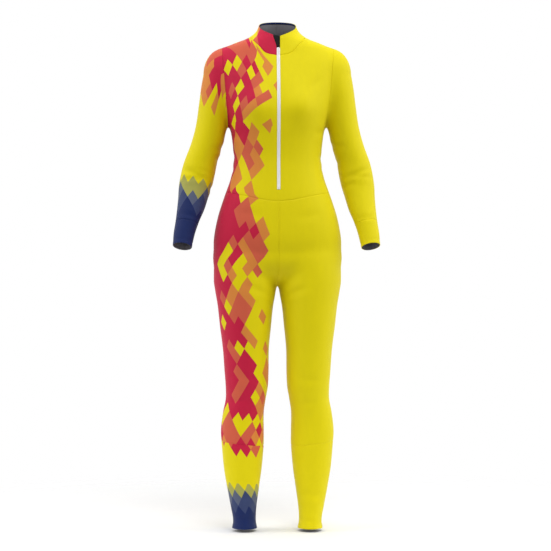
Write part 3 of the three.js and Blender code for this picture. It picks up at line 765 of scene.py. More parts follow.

# %% [markdown]
# Creases
#
# A filled-out stretch suit has few folds, and all of them are shallow: short soft troughs
# where a limb bends or a seam pulls, such as inside the elbow, behind the knee, at the
# armpit and at the crotch. A cloth simulation would wash the print's sharp lozenges about
# and give another set of folds each time a size changes. Listed one by one, each crease is
# one row of a table: round which limb it runs, at what height, from which turn to which,
# how far it slants, how wide and how deep it is.

# %% Table of creases
CREASES = {
    "arm": table(
        "side z begin end slant wide deep",
        (-1, -262, -30, 75, -14, 9, 2.1),
        (-1, -288, -10, 60, 10, 7, 1.4),
        (-1, -341, 40, 165, 16, 8, 2.4),
        (-1, -356, 60, 150, -12, 6, 1.7),
        (-1, -329, 20, 120, 8, 6, 1.4),
        (-1, -372, -40, 40, 12, 8, 1.7),
        (-1, -455, 30, 130, 8, 6, 1.3),
        (-1, -346, 190, 330, -10, 9, 1.3),
        (-1, -236, 200, 300, 15, 10, 1.4),
        (1, -255, -25, 85, -12, 8, 2.0),
        (1, -296, -20, 45, 12, 8, 1.3),
        (1, -338, 35, 150, 14, 7, 2.2),
        (1, -351, 70, 160, -10, 6, 1.5),
        (1, -366, 10, 80, 9, 7, 1.4),
        (1, -461, 50, 140, -7, 6, 1.3),
        (1, -340, 200, 320, 12, 9, 1.4),
        (1, -232, 210, 310, -13, 10, 1.5),
    ),
    "leg": table(
        "side z begin end slant wide deep",
        (-1, -668, 20, 95, 46, 9, 2.5),
        (-1, -700, 5, 70, 38, 8, 1.7),
        (-1, -655, -90, -15, -40, 10, 2.4),
        (-1, -932, 205, 325, 8, 8, 2.5),
        (-1, -951, 215, 300, -10, 7, 2.0),
        (-1, -918, 230, 340, 10, 6, 1.4),
        (-1, -905, 30, 120, 10, 9, 1.4),
        (-1, -968, 60, 150, -9, 9, 1.4),
        (-1, -1236, 20, 110, 8, 8, 1.4),
        (-1, -1278, 200, 320, -8, 8, 1.7),
        (-1, -1296, 40, 150, 6, 6, 1.3),
        (1, -672, 15, 90, 42, 9, 2.4),
        (1, -706, 0, 60, 34, 8, 1.5),
        (1, -660, -85, -20, -44, 10, 2.5),
        (1, -928, 210, 330, -9, 8, 2.4),
        (1, -947, 220, 310, 11, 7, 2.0),
        (1, -963, 200, 280, 6, 6, 1.3),
        (1, -910, 50, 140, -9, 9, 1.4),
        (1, -974, 35, 120, 10, 9, 1.4),
        (1, -1229, 50, 140, -8, 8, 1.4),
        (1, -1284, 210, 330, 9, 8, 1.7),
        (1, -1300, 20, 110, -6, 6, 1.3),
    ),
    "trunk": table(
        "side z begin end slant wide deep",
        (-1, -232, 52, 88, 16, 10, 1.8),
        (1, -226, 50, 84, 14, 10, 1.7),
        (-1, -292, 60, 118, 9, 9, 1.4),
        (1, -298, 58, 112, -9, 9, 1.4),
        (-1, -330, 72, 126, -8, 8, 1.3),
        (1, -324, 76, 130, 8, 8, 1.3),
        (-1, -300, 140, 176, 7, 9, 1.8),
        (1, -306, 138, 178, -8, 9, 1.7),
        (-1, -334, 146, 180, -6, 8, 1.4),
        (-1, -452, 20, 62, 14, 11, 1.3),
        (1, -458, 24, 60, 13, 11, 1.3),
        (-1, -96, 44, 62, 40, 10, 1.7),
        (1, -92, 42, 60, 42, 10, 1.7),
        (-1, -110, 118, 140, -44, 11, 1.8),
        (1, -106, 120, 138, -46, 11, 1.7),
    ),
}
print("creases:", sum(len(rows["z"]) for rows in CREASES.values()))

# %% [markdown]
# A trough is deepest in the middle of its path and dies out at both ends, and the cloth
# that it takes rises a little on each side. The distance from a point to the path is
# measured in space, which is close enough for folds this shallow.


# %% Press the creases in
CREASE_POINTS = 13
CREASE_LEAN = 0.2
CREASE_REACH = 4
CREASE_LIP = 0.3
CREASE_ENDS = 0.8


def crease_path(limb, row):
    t = np.linspace(0, 1, CREASE_POINTS)
    side = int(row["side"])
    turns = mix(row["begin"], row["end"], t)
    heights = row["z"] + row["slant"] * (t - 0.5)
    if limb == "arm":
        rings = [{"z": z, "lean": CREASE_LEAN, "forward": 0} for z in heights]
        return np.array([sleeve_point(side, turn, ring) for turn, ring in zip(turns, rings)])
    if limb == "leg":
        return leg_point(side, turns, heights)
    return trunk_point(side, turns, heights)


def crease_paths():
    for limb, rows in CREASES.items():
        for i in range(len(rows["z"])):
            row = {name: float(values[i]) for name, values in rows.items()}
            yield crease_path(limb, row), row["wide"], row["deep"]


creases = list(crease_paths())


def crease_depth(points):
    """How far the creases press each point in, in millimetres."""
    flat = points.reshape(-1, 3)
    depth = np.zeros(len(flat))
    for path, wide, deep in creases:
        reach = CREASE_REACH * wide
        low, high = path.min(0) - reach, path.max(0) + reach
        near = np.flatnonzero(np.all((flat > low) & (flat < high), axis=1))
        if not len(near):
            continue
        offsets = flat[near, None] - path[:-1]
        spans = np.diff(path, axis=0)
        along = np.clip((offsets * spans).sum(-1) / (spans * spans).sum(-1), 0, 1)
        distance = np.linalg.norm(offsets - along[..., None] * spans, axis=-1)
        closest = distance.argmin(1)
        each = np.arange(len(near))
        place = (closest + along[each, closest]) / (CREASE_POINTS - 1)
        away = distance[each, closest] / wide
        shape = np.exp(-away**2) - CREASE_LIP * np.exp(-((away - 2) ** 2))
        depth[near] += deep * shape * np.sin(np.pi * place) ** CREASE_ENDS
    return depth.reshape(points.shape[:-1])


print("paths of creases:", len(creases))

# %% [markdown]
# From a net to a shell
#
# The knit is about a millimetre thick, and its two faces differ: the outside is printed,
# and the inside is plain. So each net becomes a closed shell, with a second net inside the
# first and a narrow rim along its edges. A Solidify modifier would do the same, but here
# the inner face needs its own material, and the edges need rows of their own: where two
# pieces are sewn together the cloth dips, so two extra rows are set close to the seam and
# the outermost row is pressed in.

# %% Rows beside the seams
SEAM_DIP = 0.9
EDGE_ROWS = (0.16, 0.45)
EDGE_DIPS = (1.0, 0.6, 0.15, -0.1)


def with_edge_rows(net, axis):
    """Adds two rows close to the first and the last row of a net."""
    last = net.shape[axis] - 1
    far_rows = last - np.array(EDGE_ROWS[::-1])
    places = np.concatenate([[0], EDGE_ROWS, np.arange(1, last), far_rows, [last]])
    low = np.minimum(np.floor(places).astype(int), last - 1)
    share = (places - low).reshape([-1 if a == axis else 1 for a in range(3)])
    return mix(np.take(net, low, axis), np.take(net, low + 1, axis), share)


def edge_dip(count, first, last):
    """How deep each row dips beside the seams at its two ends."""
    dip = np.zeros(count)
    if first:
        dip[: len(EDGE_DIPS)] += EDGE_DIPS
    if last:
        dip[-len(EDGE_DIPS):] += EDGE_DIPS[::-1]
    return dip * SEAM_DIP


print("rows added at each edge:", len(EDGE_ROWS))

# %% [markdown]
# Each shell also gets a map. Its first value is the distance along the cloth from the
# side, and its second one the distance up from a seam, so a print or a knit stitch has its
# true size everywhere. An unwrap would cut and turn the pieces as it likes. On the arm the
# second value follows the arm's own lean, or the rows of the wrist would come out slanted.

# %% Maps of the cloth
MAP_LEANS = (100, 240)
MAP_SWINGS = (300, 440)


def arc_map(net, closed, u_from, v_from):
    """Distances over the cloth, across it and up it."""
    u = np.concatenate([np.zeros((len(net), 1)), np.cumsum(spacing(net, 1), axis=1)], axis=1)
    if u_from == "right":
        u = u[:, -1:] - u
    if closed:
        u = u - u[:, -1:] / 2
    v = np.concatenate([[0], np.cumsum(spacing(net).mean(axis=1))])
    if v_from == "top":
        v = v - v[-1]
    return np.stack([u, np.broadcast_to(v[:, None], u.shape)], axis=-1)


def arm_map(net, side):
    """A map for sleeves: round the arm from its outer line, and down along the arm."""
    maps = arc_map(net, True, "left", "bottom")
    x, y, z = net[..., 0], net[..., 1], net[..., 2]
    across = side * x - arm_centre(side, z)
    lean = FIRST_RING["lean"] * smoothstep(-z, *MAP_LEANS) * across
    swing = CUFF_SEAM["forward"] * smoothstep(-z, *MAP_SWINGS) * (y - arm["middle"](z))
    maps[..., 1] = -(z - lean - swing)
    return maps


def surface_area(net):
    across = net[:-1, 1:] - net[:-1, :-1]
    up = net[1:, :-1] - net[:-1, :-1]
    return float(np.linalg.norm(np.cross(across, up), axis=-1).sum())


print("cloth in one front:", round(surface_area(nets["front_right"]) / 100), "square cm")

# %% [markdown]
# The mesh is built from numbers at once: the outer net, the inner net behind it, and a rim
# of faces that joins their edges. The first three points tell which way the outside faces.

# %% Mesh of a shell
CLOTH_THICK = 1.1


def corners_of(mesh):
    """The vertex number at each corner of each face."""
    numbers = np.zeros(len(mesh.loops), int)
    mesh.loops.foreach_get("vertex_index", numbers)
    return numbers


def write_map(mesh, places):
    """Writes a map, given in millimetres for each corner of each face."""
    mesh.uv_layers.new(name="cloth").data.foreach_set("uv", (places * MM).ravel())


def shell_mesh(name, outer, inner, maps):
    """A closed mesh from an outer and an inner net. Inner faces get the second material."""
    rows, columns = outer.shape[:2]
    number = np.arange(rows * columns).reshape(rows, columns)
    a, b, c, d = number[:-1, :-1], number[:-1, 1:], number[1:, 1:], number[1:, :-1]
    outside_faces = np.stack([a, b, c, d], axis=-1).reshape(-1, 4)
    inside_faces = outside_faces[:, ::-1] + rows * columns
    ring = np.concatenate([number[0, :-1], number[:-1, -1], number[-1, :0:-1], number[:0:-1, 0]])
    after = np.roll(ring, -1)
    rim_faces = np.stack([ring, ring + rows * columns, after + rows * columns, after], axis=-1)
    faces = np.concatenate([outside_faces, inside_faces, rim_faces])
    corner = outer[0, 0], outer[0, 1], outer[1, 1]
    facing = np.cross(corner[1] - corner[0], corner[2] - corner[0]) @ (outer[0, 0] - inner[0, 0])
    if facing < 0:
        faces = faces[:, ::-1]
    mesh = bpy.data.meshes.new(name)
    vertices = np.concatenate([outer.reshape(-1, 3), inner.reshape(-1, 3)]) * MM
    mesh.from_pydata(vertices.tolist(), [], faces.tolist())
    kinds = np.repeat([0, 1, 0], [len(outside_faces), len(inside_faces), len(rim_faces)])
    mesh.polygons.foreach_set("material_index", kinds)
    write_map(mesh, np.concatenate([maps.reshape(-1, 2)] * 2)[corners_of(mesh)])
    return mesh


print("thickness of the cloth:", CLOTH_THICK, "mm")

# %% [markdown]
# The cloth was cut smaller than the form and stretched over it. For each piece the flat size
# before that stretch is printed, which tells how much cloth it takes.

# %% Add a piece
STRETCH = 1.06
WELD_WITHIN = 1e-6


def add_piece(name, mesh, materials, slot):
    piece = add_object(name, mesh)
    for material in materials:
        mesh.materials.append(material)
    mesh.shade_smooth()
    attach(piece, "root")
    return piece


def weld(mesh):
    work = bmesh.new()
    work.from_mesh(mesh)
    bmesh.ops.remove_doubles(work, verts=work.verts, dist=WELD_WITHIN)
    work.to_mesh(mesh)
    work.free()


def declare_sheet(piece, net):
    """States the size to which the cloth was cut, before it was stretched over the form."""
    width = spacing(net, 1).sum(axis=1).max() * MM / STRETCH
    length = spacing(net).sum(axis=0).max() * MM / STRETCH
    area = surface_area(net) * MM * MM / STRETCH**2
    area = min(area, width * length)
    print(piece.name, "cut to", round(width, 3), "x", round(length, 3), "m,", round(area, 4), "m2")


print("the worn suit is stretched", STRETCH, "times")

# %% [markdown]
# A tube is a net whose last column meets its first. It is stored with that column doubled,
# so that the map doesn't jump back across one face, and the doubled points are merged once
# the mesh is made. A hem is a second layer of cloth turned up inside, so it stands out a
# little above its edge and dips along its two rows of stitches.

# %% Sew one piece
HEM_STITCHES = (-6, -7)
HEM_RELIEF = (0.25, 0.3, -0.25, -0.35, -0.35, -0.35, -0.1)
EDGE_TRIES = 4
SHARP_TURN = 55
built = {}


def edged_net(net, closed):
    """A net with rows close to its edges, closed where it is a tube."""
    if closed:
        net = np.concatenate([net, net[:, :1]], axis=1)
    net = with_edge_rows(net, 0)
    if not closed:
        net = with_edge_rows(net, 1)
    net[1:-1, 1:-1] = settle(net[1:-1, 1:-1], EDGE_TRIES)
    return net


def dips_of(net, sewn, closed, hem):
    """How deep the cloth dips at each point beside its seams and over its hem."""
    dip = edge_dip(net.shape[0], "b" in sewn, "t" in sewn)[:, None]
    if hem:
        dip[HEM_STITCHES[-1]:] += np.array(HEM_RELIEF)[:, None]
    if closed:
        return dip
    return np.maximum(dip, edge_dip(net.shape[1], "l" in sewn, "r" in sewn)[None])


def sew(
    node, materials, slot, sewn="", closed=False, hem=False, behind=0.0,
    u_from="left", v_from="bottom", v_down=False,
):
    """Makes the shell of one node. sewn names its edges that are seams: b, t, l and r."""
    net = edged_net(nets[node], closed)
    normals = normals_at(net)
    pressed = behind + dips_of(net, sewn, closed, hem) + crease_depth(net)
    outer = net - normals * pressed[..., None]
    inner = outer - normals * CLOTH_THICK
    side = LEFT if node.endswith("left") else RIGHT
    maps = arm_map(net, side) if node.startswith("sleeve") else arc_map(net, closed, u_from, v_from)
    if v_down:
        maps[..., 1] *= -1
    mesh = shell_mesh(f"{node}_cloth", outer, inner, maps)
    if closed:
        weld(mesh)
    mesh.set_sharp_from_angle(angle=radians(SHARP_TURN))
    piece = add_piece(f"{node}_cloth", mesh, materials, slot)
    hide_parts(node)
    declare_sheet(piece, net)
    built[node] = {"outer": outer, "normals": normals, "maps": maps, "materials": materials}


print("rows in the relief of a hem:", len(HEM_RELIEF))

# %% [markdown]
# Writing materials as sums
#
# A material is a graph of nodes. Long graphs are hard to read, so a small class lets a
# value in a graph be added, multiplied or compared like a number, and makes the nodes
# behind the scenes.


# %% Node arithmetic
class Wire:
    """A value in a material, which makes a math node for each sum."""

    def __init__(self, tree, socket):
        self.tree = tree
        self.socket = socket

    def math(self, operation, *others):
        node = self.tree.nodes.new("ShaderNodeMath")
        node.operation = operation
        for place, value in zip(node.inputs, (self, *others)):
            if isinstance(value, Wire):
                self.tree.links.new(value.socket, place)
            else:
                place.default_value = value
        return Wire(self.tree, node.outputs[0])


OPERATORS = {
    "__add__": "ADD", "__sub__": "SUBTRACT", "__mul__": "MULTIPLY", "__truediv__": "DIVIDE",
    "__gt__": "GREATER_THAN", "__lt__": "LESS_THAN", "__pow__": "POWER",
}
for name, operation in OPERATORS.items():
    setattr(Wire, name, partialmethod(Wire.math, operation))


def wire(node, output=0):
    return Wire(node.id_data, node.outputs[output])


def connect(source, place):
    source.tree.links.new(source.socket, place)


def split_up(source, kind="XYZ"):
    """The three parts of a vector, or of a colour, as wires."""
    node = source.tree.nodes.new(f"ShaderNodeSeparate{kind}")
    connect(source, node.inputs[0])
    return [wire(node, part) for part in range(3)]


def set_inputs(node, values):
    for name, value in values.items():
        node.inputs[name].default_value = value


print("sums that a wire can do:", len(OPERATORS))

# %% [markdown]
# Colours are given as they look on a screen and turned into the linear light that Blender
# works in. A ramp lays colours along a value: with steps it gives each lozenge one flat
# tone, and smooth it fades.


# %% Colours and ramps
MIX_UNDER, MIX_OVER, MIX_RESULT = 6, 7, 2


def colour(red, green, blue):
    """A colour seen on a screen, 0 to 255, as the linear light that Blender works in."""
    seen = np.array([red, green, blue]) / 255
    linear = np.where(seen <= 0.04045, seen / 12.92, ((seen + 0.055) / 1.055) ** 2.4)
    return (*linear.tolist(), 1.0)


def blend_colours(factor, under, over):
    """A colour node that shows over where factor is 1. Each colour is a tuple or a wire."""
    node = factor.tree.nodes.new("ShaderNodeMix")
    node.data_type = "RGBA"
    connect(factor, node.inputs[0])
    for place, value in ((node.inputs[MIX_UNDER], under), (node.inputs[MIX_OVER], over)):
        if isinstance(value, Wire):
            connect(value, place)
        else:
            place.default_value = value
    return wire(node, MIX_RESULT)


def ramp(factor, stops, smooth=True):
    """Colours along a value, from stops of (place, colour)."""
    node = factor.tree.nodes.new("ShaderNodeValToRGB")
    node.color_ramp.interpolation = "LINEAR" if smooth else "CONSTANT"
    elements = node.color_ramp.elements
    while len(elements) < len(stops):
        elements.new(0.5)
    for element, (place, value) in zip(elements, stops):
        element.position = place
        element.color = value
    connect(factor, node.inputs[0])
    return wire(node)


YELLOW = colour(230, 214, 0)
CRIMSON = colour(200, 28, 66)
CORAL = colour(212, 96, 70)
TAN = colour(222, 138, 62)
NAVY = colour(24, 40, 92)
STEEL = colour(88, 96, 120)
SLATE = colour(56, 68, 108)
OLIVE = colour(168, 166, 84)
GREY = colour(132, 130, 136)
WHITE = colour(253, 253, 255)
BLACK = colour(28, 32, 32)
print("yellow in linear light:", [round(v, 3) for v in YELLOW[:3]])

# %% [markdown]
# Stretch knit
#
# From a step away the cloth is smooth with a soft glow at its edges: tiny loops of bright
# filament yarn scatter light forward, which the sheen of the shader imitates. Close up it
# is a fine warp knit of columns of loops, about one for each millimetre. The loops are far
# too many to model, so they are bump: a wave across the cloth and a wave along it, read
# from the map in metres.


# %% Map and relief
def new_material(name):
    material = bpy.data.materials.new(name)
    material.use_nodes = True
    tree = material.node_tree
    shader = tree.nodes["Principled BSDF"]
    return material, tree, shader


def map_of(tree):
    """The two distances over the cloth, as wires."""
    node = tree.nodes.new("ShaderNodeUVMap")
    node.uv_map = "cloth"
    return split_up(wire(node))[:2]


def add_relief(shader, height, relief):
    """Height as bump on a shader."""
    tree = height.tree
    bump = tree.nodes.new("ShaderNodeBump")
    set_inputs(bump, relief)
    connect(height, bump.inputs["Height"])
    tree.links.new(bump.outputs[0], shader.inputs["Normal"])


print("materials so far:", len(bpy.data.materials))

# %% [markdown]
# The knit itself: the loops shade each other a little, so the cloth is darker between
# them, and a faint cloudiness keeps a wide plain panel from looking like plastic. The same
# function makes every knit of the suit, and is told how to paint it.

# %% Knit material
WALE = 0.0011
COURSE = 0.0009
COLUMN_SHARE = 0.6
LOOP_SHARE = 0.4
LOOP_ARCH = 2.2
KNIT_RELIEF = {"Strength": 0.35, "Distance": 0.00025}
# Painted shade between the loops: the knit's colour is darkest there and lighter towards the tops of
# the loops.
SHADE_BETWEEN_LOOPS = 0.92
LOOP_SHADE_RANGE = 0.10
CLOUD = {"Scale": 14, "Detail": 3}
CLOUD_LEAST = 0.97
CLOUD_RANGE = 0.06
GLOW = {"Sheen Roughness": 0.4, "Sheen Tint": (1.0, 0.93, 0.55, 1), "Specular IOR Level": 0.16}


def loop_height(u, v):
    """How high the loops of the knit stand. Each one arches over its column."""
    wale = u * (2 * np.pi / WALE)
    course = v * (2 * np.pi / COURSE)
    columns = wale.math("SINE").math("ABSOLUTE")
    loops = (course + columns * LOOP_ARCH).math("SINE") * 0.5 + 0.5
    return columns * COLUMN_SHARE + loops * LOOP_SHARE


def shade_of(tree, height):
    """Painted shade, darker between the loops where they shade each other, and a little cloudy, as
    any large piece of knit is.
    """
    cloud = tree.nodes.new("ShaderNodeTexNoise")
    set_inputs(cloud, CLOUD)
    cloudy = wire(cloud) * CLOUD_RANGE + CLOUD_LEAST
    return (height * LOOP_SHADE_RANGE + SHADE_BETWEEN_LOOPS) * cloudy


def knit(name, paint, roughness=0.6, sheen=0.06):
    """A knit material. paint(u, v) gives its colour as a wire or a plain colour."""
    material, tree, shader = new_material(name)
    u, v = map_of(tree)
    height = loop_height(u, v)
    add_relief(shader, height, KNIT_RELIEF)
    tone = paint(u, v)
    if not isinstance(tone, Wire):
        node = tree.nodes.new("ShaderNodeRGB")
        node.outputs[0].default_value = tone
        tone = wire(node)
    # The tone is multiplied by the painted shade between the loops and by the cloudiness.
    shade = shade_of(tree, height)
    scale = tree.nodes.new("ShaderNodeVectorMath")
    scale.operation = "SCALE"
    connect(tone, scale.inputs[0])
    connect(shade, scale.inputs["Scale"])
    tree.links.new(scale.outputs[0], shader.inputs["Base Color"])
    set_inputs(shader, {"Roughness": roughness, "Sheen Weight": sheen, **GLOW})
    return material


plain_yellow = knit("yellow_knit", lambda u, v: YELLOW)
plain_grey = knit("grey_reverse", lambda u, v: GREY, roughness=0.8, sheen=0.02)
plain_black = knit("black_brushed", lambda u, v: BLACK, roughness=0.85, sheen=0.1)
print("knits:", plain_yellow.name, plain_grey.name, plain_black.name)

# %% [markdown]
# The printed lozenges
#
# The right side of the suit is printed: plain crimson along the flank breaks up into
# lozenges of crimson, coral and tan, and fades out towards the zip. The lozenges are a
# slanted grid over the map of the cloth. Each one is asked where its middle is and gets a
# random number of its own, so a lozenge is always whole, and it is there or not depending
# on how far the print reaches at that height. The reach is a short table.


# %% Lozenges and how far they reach
SMALL_LOZENGE = (0.029, 0.045)
LARGE_LOZENGE = (0.058, 0.090)
REACH_LEAST = -0.05
REACH_SCALE = 0.4
BODY_PRINT = table(
    "v plain fade",
    (-0.74, -30, 330),
    (-0.62, -6, 330),
    (-0.52, 34, 250),
    (-0.42, 42, 195),
    (-0.30, 44, 190),
    (-0.20, 54, 222),
    (-0.08, 70, 245),
    (0.00, 60, 178),
    (0.06, 42, 165),
    (0.16, 52, 188),
    (0.26, 36, 194),
    (0.36, 12, 192),
    (0.44, -8, 198),
)
COLLAR_PRINT = table("v plain fade", (-0.1, 52, 120), (0.1, 62, 110))


def lozenges(u, v, size, seed):
    """Splits the cloth into lozenges: the middle of each one and two random numbers."""
    wide, tall = size
    a = (u / wide + v / tall).math("FLOOR") + 0.5
    b = (u / wide - v / tall).math("FLOOR") + 0.5
    gather = u.tree.nodes.new("ShaderNodeCombineXYZ")
    connect(a, gather.inputs[0])
    connect(b, gather.inputs[1])
    gather.inputs[2].default_value = seed
    noise = u.tree.nodes.new("ShaderNodeTexWhiteNoise")
    noise.noise_dimensions = "3D"
    connect(wire(gather), noise.inputs["Vector"])
    chance, pick, _ = split_up(wire(noise, "Color"), "Color")
    return (a + b) * (wide / 2), (a - b) * (tall / 2), chance, pick


def reach_at(v, rows):
    """How far the plain and the fading print reach at a height, both in metres."""
    low, high = rows["v"][0], rows["v"][-1]
    stops = []
    for place, *reaches in zip(rows["v"], rows["plain"], rows["fade"]):
        shares = [(reach * MM - REACH_LEAST) / REACH_SCALE for reach in reaches]
        stops.append(((place - low) / (high - low), (*shares, 0, 1)))
    plain, fade, _ = split_up(ramp((v - low) / (high - low), stops), "Color")
    return [reach * REACH_SCALE + REACH_LEAST for reach in (plain, fade)]


print("heights in the table of the print:", len(BODY_PRINT["v"]))

# %% [markdown]
# The tones go outwards as on a printed suit: crimson first, then coral, then a tan that is
# nearly the colour of the ground. Gaps are rare beside the plain crimson and grow towards
# the zip. Two sizes of lozenge overlap. The large ones are coral or tan and keep to the
# middle of the fading part, so the edge stays fine.

# %% Paint the prints
TONES = ((0, CRIMSON), (0.34, CORAL), (0.55, TAN))
TONE_SPREAD = 0.6
TONE_MIDDLE = 0.4
GAPS = 0.2
LARGE_CHANCE = 0.15
LARGE_FROM = 0.05
LARGE_TO = 0.7
LARGE_TONES = ((0, CORAL), (0.7, TAN))
LARGE_SEED = 7


def one_size(u, v, rows, size, seed):
    """How far through the fading print each lozenge is, and two random numbers."""
    centre_u, centre_v, chance, pick = lozenges(u, v, size, seed)
    plain, fade = reach_at(centre_v, rows)
    share = (centre_u.math("ABSOLUTE") - plain) / (fade - plain)
    return share, chance, pick


def mosaic(u, v, rows, seed):
    share, chance, pick = one_size(u, v, rows, SMALL_LOZENGE, seed)
    printed = chance > (share * share * (1 - GAPS) + GAPS) * (share > 0)
    tones = ramp(share + (pick - TONE_MIDDLE) * TONE_SPREAD, TONES, smooth=False)
    small = blend_colours(printed, YELLOW, tones)
    share, chance, pick = one_size(u, v, rows, LARGE_LOZENGE, seed + LARGE_SEED)
    middle = (share > LARGE_FROM) * (share < LARGE_TO)
    large = (chance < LARGE_CHANCE) * middle
    return blend_colours(large, small, ramp(pick, LARGE_TONES, smooth=False))


def paint_body(u, v):
    return mosaic(u, v, BODY_PRINT, seed=1.0)


def paint_collar(u, v):
    return mosaic(u, v, COLLAR_PRINT, seed=4.0)


print("tones from the side outwards:", len(TONES))

# %% [markdown]
# Wrists and ankles end in navy. There the lozenges stand in rows that darken towards the
# hem, and the first row fades in over the yellow as a zigzag. On the sleeve the print of
# the shoulder comes in from the other end, down to the upper arm.

# %% Paint the sleeves and the hems
HEM_LOZENGE = (0.030, 0.044)
HEM_ROWS = ((0, YELLOW), (0.02, OLIVE), (0.24, STEEL), (0.46, SLATE), (0.72, NAVY))
HEM_FADE = 0.100
HEM_JITTER = 0.36
FIRST_ROW = 0.2
SHOULDER = {"ends": 0.165, "fades": 0.075, "last": 1.1, "tone": 0.4, "middle": 0.35}
SHOULDER_LARGE = {"chance": 0.3, "ends": 0.12, "tones": ((0, CORAL), (0.5, TAN))}
FOREARM_FROM = 0.27
WRIST_BEGINS = 0.368
ANKLE_BEGINS = -0.128
CALF = {"ends": -0.25, "fades": 0.07, "thin": 0.7}
CALF_TONES = ((0, CRIMSON), (0.3, CORAL), (0.6, TAN))


def hem_rows(u, v, begins, seed):
    """Rows of lozenges that darken along the map from where they begin."""
    _, centre_v, _, pick = lozenges(u, v, HEM_LOZENGE, seed)
    share = (centre_v - begins) / HEM_FADE
    return ramp(share + (pick - 0.5) * (share > FIRST_ROW) * HEM_JITTER, HEM_ROWS, smooth=False)


def paint_shoulder(u, v):
    """Small and large lozenges from the top of the sleeve down to the upper arm."""
    _, centre_v, chance, pick = lozenges(u, v, SMALL_LOZENGE, seed=8.0)
    share = (centre_v - SHOULDER["ends"]) / SHOULDER["fades"] + 1
    printed = (chance > share.math("MAXIMUM", GAPS)) * (share < SHOULDER["last"])
    further = share.math("MAXIMUM", 0.0) * SHOULDER["tone"]
    tones = ramp(further + (pick - SHOULDER["middle"]), TONES, smooth=False)
    small = blend_colours(printed, YELLOW, tones)
    _, centre_v, chance, pick = lozenges(u, v, LARGE_LOZENGE, seed=9.0)
    large = (chance < SHOULDER_LARGE["chance"]) * (centre_v < SHOULDER_LARGE["ends"])
    return blend_colours(large, small, ramp(pick, SHOULDER_LARGE["tones"], smooth=False))


def paint_sleeve(u, v):
    wrist = hem_rows(u, v, WRIST_BEGINS, seed=3.0)
    return blend_colours(v > FOREARM_FROM, paint_shoulder(u, v), wrist)


def paint_ankle(u, v):
    """The last lozenges of the leg come down over the seam, and the rows end the leg."""
    _, centre_v, chance, pick = lozenges(u, v, SMALL_LOZENGE, seed=6.0)
    share = (centre_v - CALF["ends"]) / CALF["fades"]
    printed = chance * CALF["thin"] > share
    calf = blend_colours(printed, YELLOW, ramp(pick, CALF_TONES, smooth=False))
    return blend_colours(v > ANKLE_BEGINS, calf, hem_rows(u, v, ANKLE_BEGINS, seed=5.0))


body_print = knit("lozenge_print", paint_body)
collar_print = knit("collar_print", paint_collar)
sleeve_print = knit("sleeve_print", paint_sleeve)
ankle_print = knit("ankle_print", paint_ankle)
plain_navy = knit("navy_knit", lambda u, v: NAVY)
print("printed materials:", body_print.name, collar_print.name, sleeve_print.name, ankle_print.name)

# %% [markdown]
# The right side is made of printed cloth, the left one of plain yellow, and the back is
# one printed piece whose print dies out before the left. A table says for each kind of
# piece which of its edges are sewn and where its map starts, and one loop sews them all:
# copied lines for left and right would sooner or later differ by mistake.

# %% Sew the body
CLOTHS = {
    "right": {
        "front": body_print, "leg_front": body_print, "leg_back": body_print, "ankle": ankle_print,
        "sleeve": sleeve_print, "cuff": plain_navy, "collar": collar_print,
    },
    "left": {},
}
SLOTS = {
    "right": {"ankle": "navy_cloth", "cuff": "navy_cloth", "collar": "crimson_cloth"},
    "left": {},
}
PLAIN_SLOT = {"right": "printed_cloth", "left": "yellow_cloth"}
LEG_SEWN = {"sewn": "btlr", "u_from": "right", "v_down": True}
SEWN = {
    "front": {"sewn": "btr", "u_from": "right"},
    "leg_front": LEG_SEWN,
    "leg_back": LEG_SEWN,
    "ankle": {"sewn": "b", "closed": True, "v_from": "top", "hem": True},
    "sleeve": {"sewn": "bt", "closed": True},
    "cuff": {"sewn": "b", "closed": True, "hem": True},
    "collar": {"sewn": "br"},
}

for hand in HANDS.values():
    for kind, ways in SEWN.items():
        cloth = CLOTHS[hand].get(kind, plain_yellow)
        slot = SLOTS[hand].get(kind, PLAIN_SLOT[hand])
        sew(f"{kind}_{hand}", [cloth, plain_grey], slot, **ways)
sew("back", [body_print, plain_grey], "yellow_cloth", sewn="btlr")
sew("zip_guard", [plain_black, plain_black], "guard_cloth", behind=GUARD_BEHIND)
print("pieces sewn:", len(built))

# %% [markdown]
# Stitches
#
# The panels are joined by a flat seam that lies between two rows of small stitches, and
# each hem is turned and held by two rows more. A dashed line in the material would be
# cheaper, but it casts no shadow. So each stitch is a tiny spindle of thread, and all the
# stitches of one panel are joined into one mesh. A stitch takes the map of the cloth under
# it, so its thread has the colour of the print there.


# %% Spindles of thread
STITCH = {"pitch": 2.9, "long": 2.2, "wide": 0.5, "high": 0.32, "sunk": 0.12}
SPINDLE_SIDES = 4
SPINDLE_TIP = 0.25


